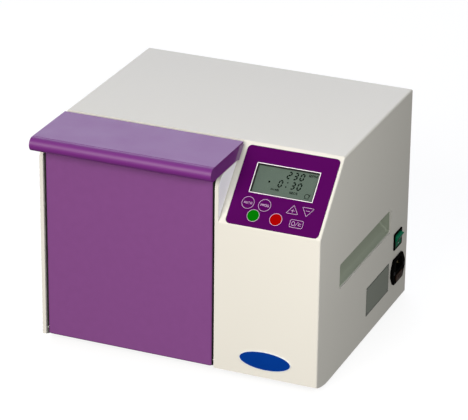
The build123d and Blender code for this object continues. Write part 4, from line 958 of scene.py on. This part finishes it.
@dataclass
class ControlDeck:
    """The film's print, the keys' outlines and marks, and the display's window. Millimetres on the deck."""

    shop: Workshop
    deck: Place
    film: float = 0.8
    proud: float = 0.25
    ink: float = 0.06
    line: float = 0.43
    mark: float = 0.42
    margin: float = 0.12
    round_keys: tuple[tuple[str, float, float, str], ...] = (
        ("key_mode", 32.0, 33.6, "AUTO"), ("key_program", 55.2, 33.6, "PROG"), ("key_start", 44.0, 17.2, ""),
        ("key_stop", 75.6, 17.2, ""))
    ring_r: float = 8.55
    letters: tuple[float, float, float] = (2.6, 3.0, 0.36)
    triangle: Spot = (17.4, 13.0)
    triangle_corner: float = 0.9
    up_base: Spot = (94.4, 28.4)
    down_base: Spot = (114.3, 40.8)
    sign_half: float = 2.5
    sign_height: float = 0.36
    set_centre: Spot = (104.4, 16.0)
    set_size: Spot = (18.6, 11.2)
    set_corner: float = 2.4
    set_oval: tuple[float, float, float] = (-4.4, 2.3, 1.3)
    set_strokes: tuple[tuple[float, ...], ...] = (
        (-1.7, -3.1, 2.0, 3.1), (3.0, 0.9, 6.6, 0.9), (3.0, -1.9, 6.6, -1.9), (3.0, 0.9, 3.0, -1.9))
    window: Spot = (72.6, 69.8)
    window_size: Spot = (86.8, 41.2)
    border: float = 0.9
    border_corner: float = 0.5
    face_w: float = -2.5
    gasket: float = 0.4
    gasket_corner: float = 0.3
    gasket_top: float = 0.14
    painted_shade_step: Spot = (1.0, 0.7)
    play: float = 0.02

    def build(self) -> None:
        """Makes the window's lines, the keys' outlines and marks, and the display."""
        self._window()
        self._round_keys()
        self._triangle("key_up", self.up_base, True)
        self._triangle("key_down", self.down_base, False)
        self._set_key()
        u, v = (middle - size / 2 for middle, size in zip(self.window, self.window_size))
        Display(self.shop, self.deck.at(u, v, self.face_w), self.window_size).build()

    def _top(self, u: float, v: float) -> Place:
        """A place on a key's top."""
        return self.deck.at(u, v, self.film + self.proud)

    def _print(self, key: str, part: str, place: Place, shell: Shell) -> None:
        """Prints a shell on a key; the piece is named after the key and the part."""
        self.shop.piece(f"{key}_{part}", place, shell, PALE_INK, key + "_cap")

    def _rim(self, outline: np.ndarray) -> Shell:
        """A printed line inside an outline."""
        return band(outline, self.line, -SUNK, self.ink)

    def _strokes(self, ends: tuple) -> Shell:
        """Printed straight strokes from rows of x0, y0, x1, y1."""
        return prisms(bars(np.array(ends), self.mark), -SUNK, self.ink)

    def _window(self) -> None:
        """A pale printed line round the window, a dark liner down its walls and a dark step at its foot; the
        liner is a black gasket that also paints the recess's shade, and the step is painted shade.
        """
        place = self.deck.at(*self.window)
        w, h = self.window_size
        outer, inner, foot = 2 * self.border, 2 * self.gasket, self.face_w + self.play
        line = band(box_outline(w + outer, h + outer, self.border_corner), self.border, -SUNK, self.ink)
        self.shop.piece("window_line", self.deck.at(*self.window, self.film), line, WHITE_INK, "machine")
        well = box_outline(w - self.play, h - self.play, self.gasket_corner)
        wall = band(well, self.gasket, foot, self.gasket_top)
        # The step is painted shade along the foot of the recess.
        width, height = self.painted_shade_step
        shade_band = band(box_outline(w - inner, h - inner, self.gasket_corner), width, foot, self.face_w + height)
        self.shop.piece("window_gasket_and_shade", place, joined(wall, shade_band), GASKET_AND_SHADE, "machine")

    def _round_keys(self) -> None:
        """Printed rings on the four round keys and a word on two of them."""
        for key, u, v, word in self.round_keys:
            place = self._top(u, v)
            self._print(key, "ring", place, self._rim(disc(self.ring_r, 72)))
            if word:
                self._print(key, "word", place, prisms(word_strokes(word, *self.letters), -SUNK, self.ink))

    def _triangle(self, key: str, base: Spot, up: bool) -> None:
        """A printed triangle with a plus in the upward one and a minus in the downward one.

        Args:
            key: the key's name.
            base: the middle of the triangle's base.
            up: whether it points up.
        """
        width, height = self.triangle
        tip = height if up else -height
        corners = np.array([[-width / 2, 0], [width / 2, 0], [0, tip]])
        outline = inset(rounded(corners if up else corners[::-1], self.triangle_corner), self.margin)
        place = self._top(*base)
        self._print(key, "ring", place, self._rim(outline))
        half = self.sign_half
        sign = ((-half, 0, half, 0), (0, -half, 0, half))
        self._print(key, "mark", place.at(0, tip * self.sign_height), self._strokes(sign if up else sign[:1]))

    def _set_key(self) -> None:
        """A printed rounded rectangle with an oval, a slash and three sides of a box in it."""
        place = self._top(*self.set_centre)
        outline = inset(box_outline(*self.set_size, self.set_corner), self.margin)
        self._print("key_set", "ring", place, self._rim(outline))
        aside, radius, squash = self.set_oval
        oval = band(disc(radius, 32, squash) + [aside, 0], self.mark, -SUNK, self.ink)
        self._print("key_set", "mark", place, joined(oval, self._strokes(self.set_strokes)))


# ---------------------------------------------------------------- badge and rating plate
@dataclass
class Badge:
    """A bare domed oval with a raised rim on the front panel. Millimetres on the front plane."""

    shop: Workshop
    thick: float = 1.2
    rim: float = 0.7
    covered: float = 0.6
    field_edge: float = 0.72
    rim_top: float = 0.9
    dome: float = 0.35
    sides: int = 96

    def build(self) -> None:
        """The enamel field: rings of the oval rise as 1 - s squared towards the middle; the rim is a band."""
        low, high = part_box("badge")
        w, h = (high.x - low.x) / MM, (high.z - low.z) / MM
        outline = disc(w / 2, self.sides, h / w)
        field = inset(outline, self.rim * self.covered)
        shares = np.linspace(1, 0.04, 10)
        heights = self.thick * self.field_edge + self.dome * (1 - shares * shares)
        rings = [np.column_stack([field * s, np.full(self.sides, z)])
                 for s, z in zip([1.0, *shares], [0.0, *heights])]
        place = Place(((low.x + high.x) / 2, high.y, (low.z + high.z) / 2), (1, 0, 0), (0, 0, 1), (0, -1, 0))
        shell = (np.concatenate(rings), capped(len(rings), self.sides))
        oval = self.shop.piece("badge_field", place, shell, BADGE_BLUE, "machine", "badge_blue")
        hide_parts("badge")
        rim = band(outline, self.rim, 0.0, self.thick * self.rim_top)
        self.shop.piece("badge_rim", place, rim, BADGE_RIM, "machine")


@dataclass
class RatingPlate:
    """A bare foil plate with a dark printed border and a rivet in each corner. Millimetres."""

    shop: Workshop
    margin: float = 0.6
    corner: float = 1.3
    line: float = 1.0
    ink: float = 0.04
    rivet_in: float = 4.0
    rivet: tuple[Spot, ...] = ((1.5, -0.02), (1.5, 0.25), (1.2, 0.55), (0.6, 0.72), (0.1, 0.76))

    def build(self) -> None:
        """The border line and four rivets."""
        low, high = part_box("rating_plate")
        w, h = (high.y - low.y) / MM, (high.z - low.z) / MM
        place = Place((high.x, (low.y + high.y) / 2, (low.z + high.z) / 2), (0, 1, 0), (0, 0, 1), (1, 0, 0))
        border = band(box_outline(w - self.margin, h - self.margin, self.corner), self.line, -SUNK, self.ink)
        self.shop.piece("plate_border", place, border, PLATE_DARK, "machine")
        u, v = w / 2 - self.rivet_in, h / 2 - self.rivet_in
        for i, (a, b) in enumerate(((-u, -v), (u, -v), (u, v), (-u, v))):
            self.shop.piece(f"plate_rivet_{i + 1}", place.at(a, b), revolved(np.array(self.rivet), 24), STEEL,
                            "machine")


# ---------------------------------------------------------------- screws
@dataclass
class Screw:
    """A pan-head screw with a cross recess. Millimetres, and shares of the radius and the height.

    The head is a polar grid: its height falls by the radius squared and by its fourth power, and a smooth
    cross-shaped mask, with an arm's half width and reach and the width of their blends, sinks the middle.
    """

    radius: float
    height: float
    rings: int = 15
    sides: int = 40
    fall: Spot = (0.10, 0.45)
    arm: Spot = (0.16, 0.09)
    reach: Spot = (0.60, 0.12)
    sink: float = 0.62
    foot: float = 0.05

    def shell(self) -> Shell:
        """The head, standing on its place with a short skirt below.

        Returns:
            Points and faces.
        """
        s = np.linspace(1, 0.0, self.rings)[:-1, None]
        t = angles(self.sides)
        x, y = s * np.cos(t), s * np.sin(t)
        near, far = np.minimum(abs(x), abs(y)), np.maximum(abs(x), abs(y))
        cross = np.clip((self.arm[0] - near) / self.arm[1], 0, 1)
        cross *= np.clip((self.reach[0] - far) / self.reach[1], 0, 1)
        z = self.height * (1 - self.fall[1] * s**4 - self.fall[0] * s**2) - self.sink * self.height * cross
        top = np.stack([x * self.radius, y * self.radius, z], -1).reshape(-1, 3)
        foot = np.column_stack([disc(self.radius, self.sides), np.full(self.sides, -self.foot)])
        return np.concatenate([foot, top]), capped(self.rings, self.sides)


@dataclass
class Fasteners:
    """Every screw that shows, by the panel that it holds. Millimetres from the panel's edges."""

    shop: Workshop
    back_in: float = 9.0
    base_in: float = 12.0
    base_front: float = 70.0
    inlet_half: float = 20.0
    first_turn: float = 17.0
    next_turn: float = 37.0

    def _row(self, stem: str, place: Place, spots: list[Spot], screw: Screw, finish: Finish) -> None:
        """Places screws on a surface of the machine, each turned a little further than the last.

        Args:
            stem: what their names start with.
            place: the surface's place.
            spots: the screws' places on it, in millimetres.
            screw: their size.
            finish: their finish.
        """
        for i, (u, v) in enumerate(spots):
            spot = place.at(u, v).turned(self.first_turn + self.next_turn * i)
            self.shop.piece(f"{stem}_{i + 1}", spot, screw.shell(), finish, "machine")

    def build(self) -> None:
        """Back panel, underside and mains inlet."""
        low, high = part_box("back_panel")
        w, h = (high.x - low.x) / MM, (high.z - low.z) / MM
        back = Place((low.x, high.y, low.z), (1, 0, 0), (0, 0, 1), (0, 1, 0))
        near, far = self.back_in, w - self.back_in
        spots = [(u, v) for u in (near, w / 3, 2 * w / 3, far) for v in (self.back_in, h - self.back_in)]
        self._row("back_screw", back, spots + [(near, h / 2), (far, h / 2)], Screw(3.4, 2.0), STEEL)
        low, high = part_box("base_plate")
        w, h = (high.x - low.x) / MM, (high.y - low.y) / MM
        under = Place((low.x, high.y, low.z), (1, 0, 0), (0, -1, 0), (0, 0, -1))
        columns = (self.base_in, w / 2, w - self.base_in)
        spots = [(u, v) for u in columns for v in (self.base_in, h - self.base_front)]
        self._row("base_screw", under, spots, Screw(3.2, 1.5), ZINC)
        low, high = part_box("mains_inlet")
        flange = Place((high.x, (low.y + high.y) / 2, (low.z + high.z) / 2), (0, 1, 0), (0, 0, 1), (1, 0, 0))
        spots = [(-self.inlet_half, 0), (self.inlet_half, 0)]
        self._row("inlet_screw", flange, spots, Screw(2.6, 1.3), BLACKENED)


# ---------------------------------------------------------------- switch
@dataclass
class PowerSwitch:
    """Marks and painted shade on the rocker: a bar in a dark border on its pressed lower half, a ring on a
    dark plate over its raised upper half; the dark border and plate are painted shade on the green rocker.

    Millimetres. The flat half lies out from the casing's wall, and the valley between both halves lies below
    the bezel's middle.
    """

    shop: Workshop
    flat: float = 2.0
    valley: float = -1.5
    half: float = 8.5
    margin: float = 1.6
    corner: float = 0.8
    shade_plate: tuple[Spot, ...] = ((0, -0.02), (0, 0.1), (0.15, 0.16))
    border: float = 1.5
    border_out: float = 0.6
    print_low: Spot = (-0.02, 0.12)
    bar_half: float = 2.4
    bar: float = 0.7
    ring_r: float = 2.2
    ring: float = 0.6
    print_high: Spot = (0.15, 0.2)

    def build(self) -> None:
        """The lower half is flat; the upper leans out by the angle whose sine is its rise over its length."""
        low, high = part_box("switch_rocker")
        bezel_low, bezel_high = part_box("switch_bezel")
        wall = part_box("casing")[1].x
        middle = (bezel_low.z + bezel_high.z) / 2
        lift = math.asin(((high.x - wall) / MM - self.flat) / self.half)
        face = Place((wall + self.flat * MM, (low.y + high.y) / 2, middle + self.valley * MM),
                     (0, 1, 0), (0, 0, 1), (1, 0, 0))
        w, h = (high.y - low.y) / MM - self.margin, self.half - self.margin
        lower = face.at(0, -self.half * 0.5)
        outline = box_outline(w + self.border_out, h + self.border_out, self.corner)
        # The dark border is painted shade on the pressed lower half.
        border = band(outline, self.border, *self.print_low)
        self.shop.piece("rocker_shade_border_low", lower, border, ROCKER_PAINTED_SHADE, "rocker")
        bar = prisms(bars(np.array([[-self.bar_half, 0, self.bar_half, 0]]), self.bar), *self.print_low)
        self.shop.piece("rocker_bar", lower, bar, PALE_INK, "rocker")
        c, s = math.cos(lift), math.sin(lift)
        raised = replace(face, up=(s, 0, c), out=(c, 0, -s)).at(0, self.half * 0.5)
        # The dark plate is painted shade over the raised upper half.
        shade_plate = stacked(box_outline(w, h, self.corner), list(self.shade_plate))
        self.shop.piece("rocker_shade_high", raised, shade_plate, ROCKER_PAINTED_SHADE, "rocker")
        ring = band(disc(self.ring_r, 40), self.ring, *self.print_high)
        self.shop.piece("rocker_ring", raised, ring, WHITE_INK, "rocker")


# ---------------------------------------------------------------- studio
@dataclass(frozen=True)
class Glow:
    """A soft bright patch of sky: its middle, its colour, and the cosines of its edge and of its core."""

    towards: Point
    colour: Colour
    edge: float
    core: float


@dataclass(frozen=True)
class Lamp:
    """A square area light: its place and side in metres, its power in watts, and its colour."""

    name: str
    where: Point
    side: float
    power: float
    colour: Colour


@dataclass
class Studio:
    """A pale floor, a dim sky with two glows, a lamp in front, a small one on the right, and a camera."""

    eye: Point = (1.26074, -3.00323, 1.61278)
    turn: tuple[Point, Point, Point] = ((0.921438, -0.166097, 0.351231), (0.388391, 0.370027, -0.843939),
                                        (0.010211, 0.914052, 0.405468))
    lens: float = 201.0207
    sensor: float = 36.0
    floor_r: float = 14.0
    floor_glow: float = 0.83
    paper: Finish = Finish("studio_paper", (0.21, 0.21, 0.21), 0.9, depth=0.02 * MM, drift=0.004, spread=1.5,
                           specular=0.1)
    sky: Colour = (0.215, 0.212, 0.207)
    glows: tuple[Glow, ...] = (Glow((-0.1, 0.3, 0.95), (0.56, 0.63, 0.72), 0.72, 0.98),
                               Glow((-0.42, 0.84, 0.34), (2.8, 2.9, 3.5), 0.86, 0.99))
    lamps: tuple[Lamp, ...] = (Lamp("key_light", (-0.75, -3.4, 1.75), 2.0, 148.0, (1.0, 0.955, 0.89)),
                               Lamp("side_light", (1.05, -0.85, 0.72), 0.5, 9.2, (1.0, 1.0, 1.0)))
    lit_point: Point = (0.0, 0.0, 0.15)

    def build(self) -> None:
        """Makes floor, sky, lights and camera."""
        self._floor()
        self._sky()
        for lamp in self.lamps:
            self._softbox(lamp)
        camera = bpy.data.cameras.new("camera")
        camera.lens = self.lens
        camera.sensor_width = self.sensor
        camera.clip_start = 0.05
        camera.clip_end = 60.0
        holder = bpy.data.objects.new("camera", camera)
        bpy.context.scene.collection.objects.link(holder)
        holder.matrix_world = Matrix.Translation(Vector(self.eye)) @ Matrix(self.turn).to_4x4()
        bpy.context.scene.camera = holder
        bpy.context.scene.view_settings.view_transform = "Standard"

    def _floor(self) -> None:
        """A round floor: (r cos t, r sin t, 0) on rings of growing radius, and one face in the middle."""
        r = np.linspace(0.2, 1, 12)[:, None] * self.floor_r
        t = angles(96)
        points = np.stack([r * np.cos(t), r * np.sin(t), 0 * (r + t)], -1).reshape(-1, 3)
        mesh = bpy.data.meshes.new("studio_floor")
        mesh.from_pydata(points.tolist(), [], quads(12, 96) + [list(range(96))])
        mesh.update()
        floor = bpy.data.objects.new("studio_floor", mesh)
        bpy.context.scene.collection.objects.link(floor)
        mat = self.paper.material()
        shader = mat.node_tree.nodes["Principled BSDF"]
        shader.inputs["Emission Color"].default_value = (1, 1, 1, 1)
        shader.inputs["Emission Strength"].default_value = self.floor_glow
        mesh.materials.append(mat)
        floor.visible_diffuse = False
        floor.visible_glossy = False

    def _sky(self) -> None:
        """A dim sky plus soft glows: each glow's share is a smooth step of the cosine to its middle."""
        world = bpy.data.worlds.new("studio_sky")
        world.use_nodes = True
        tree = world.node_tree
        ground = tree.nodes["Background"]
        where = tree.nodes.new("ShaderNodeTexCoord").outputs["Generated"]
        ground.inputs["Color"].default_value = (*self.sky, 1)
        total = None
        for glow in self.glows:
            along = tree.nodes.new("ShaderNodeVectorMath")
            along.operation = "DOT_PRODUCT"
            along.inputs[1].default_value = Vector(glow.towards).normalized()
            tree.links.new(where, along.inputs[0])
            ramp = tree.nodes.new("ShaderNodeMapRange")
            ramp.interpolation_type = "SMOOTHSTEP"
            ramp.inputs["From Min"].default_value = glow.edge
            ramp.inputs["From Max"].default_value = glow.core
            tree.links.new(along.outputs["Value"], ramp.inputs["Value"])
            add = tree.nodes.new("ShaderNodeMix")
            add.data_type = "RGBA"
            add.blend_type = "ADD"
            add.inputs["A"].default_value = (*self.sky, 1)
            add.inputs["B"].default_value = (*glow.colour, 1)
            tree.links.new(ramp.outputs["Result"], add.inputs["Factor"])
            if total:
                tree.links.new(total, add.inputs["A"])
            total = add.outputs["Result"]
        tree.links.new(total, ground.inputs["Color"])
        bpy.context.scene.world = world

    def _softbox(self, lamp: Lamp) -> None:
        """Hangs a lamp that faces the machine.

        Args:
            lamp: its place, side, power and colour.
        """
        light = bpy.data.lights.new(lamp.name, "AREA")
        light.size = lamp.side
        light.energy = lamp.power
        light.color = lamp.colour
        holder = bpy.data.objects.new(lamp.name, light)
        bpy.context.scene.collection.objects.link(holder)
        way = Vector(self.lit_point) - Vector(lamp.where)
        facing = way.to_track_quat("-Z", "Y").to_matrix().to_4x4()
        holder.matrix_world = Matrix.Translation(Vector(lamp.where)) @ facing
        holder.visible_camera = False


def main() -> None:
    """Dresses the frame, builds every sub-assembly in order, then the studio."""
    logging.basicConfig(level=logging.INFO, format="%(message)s")
    shop, datum = Workshop(), Datum.read()
    for node in sorted(frame["nodes"]):
        shop.dress(node, SLOT_FINISH[node_slot(node)])
    for assembly in (Bodywork(shop), DoorTrim(shop), WallCorners(shop, datum), WallFace(shop, datum),
                     HandleFlanges(shop, datum), ControlDeck(shop, datum.deck), Badge(shop),
                     RatingPlate(shop), Fasteners(shop), PowerSwitch(shop), Studio()):
        assembly.build()
    LOG.info("%d pieces made", len(shop.made))


if __name__ == "__main__":
    main()
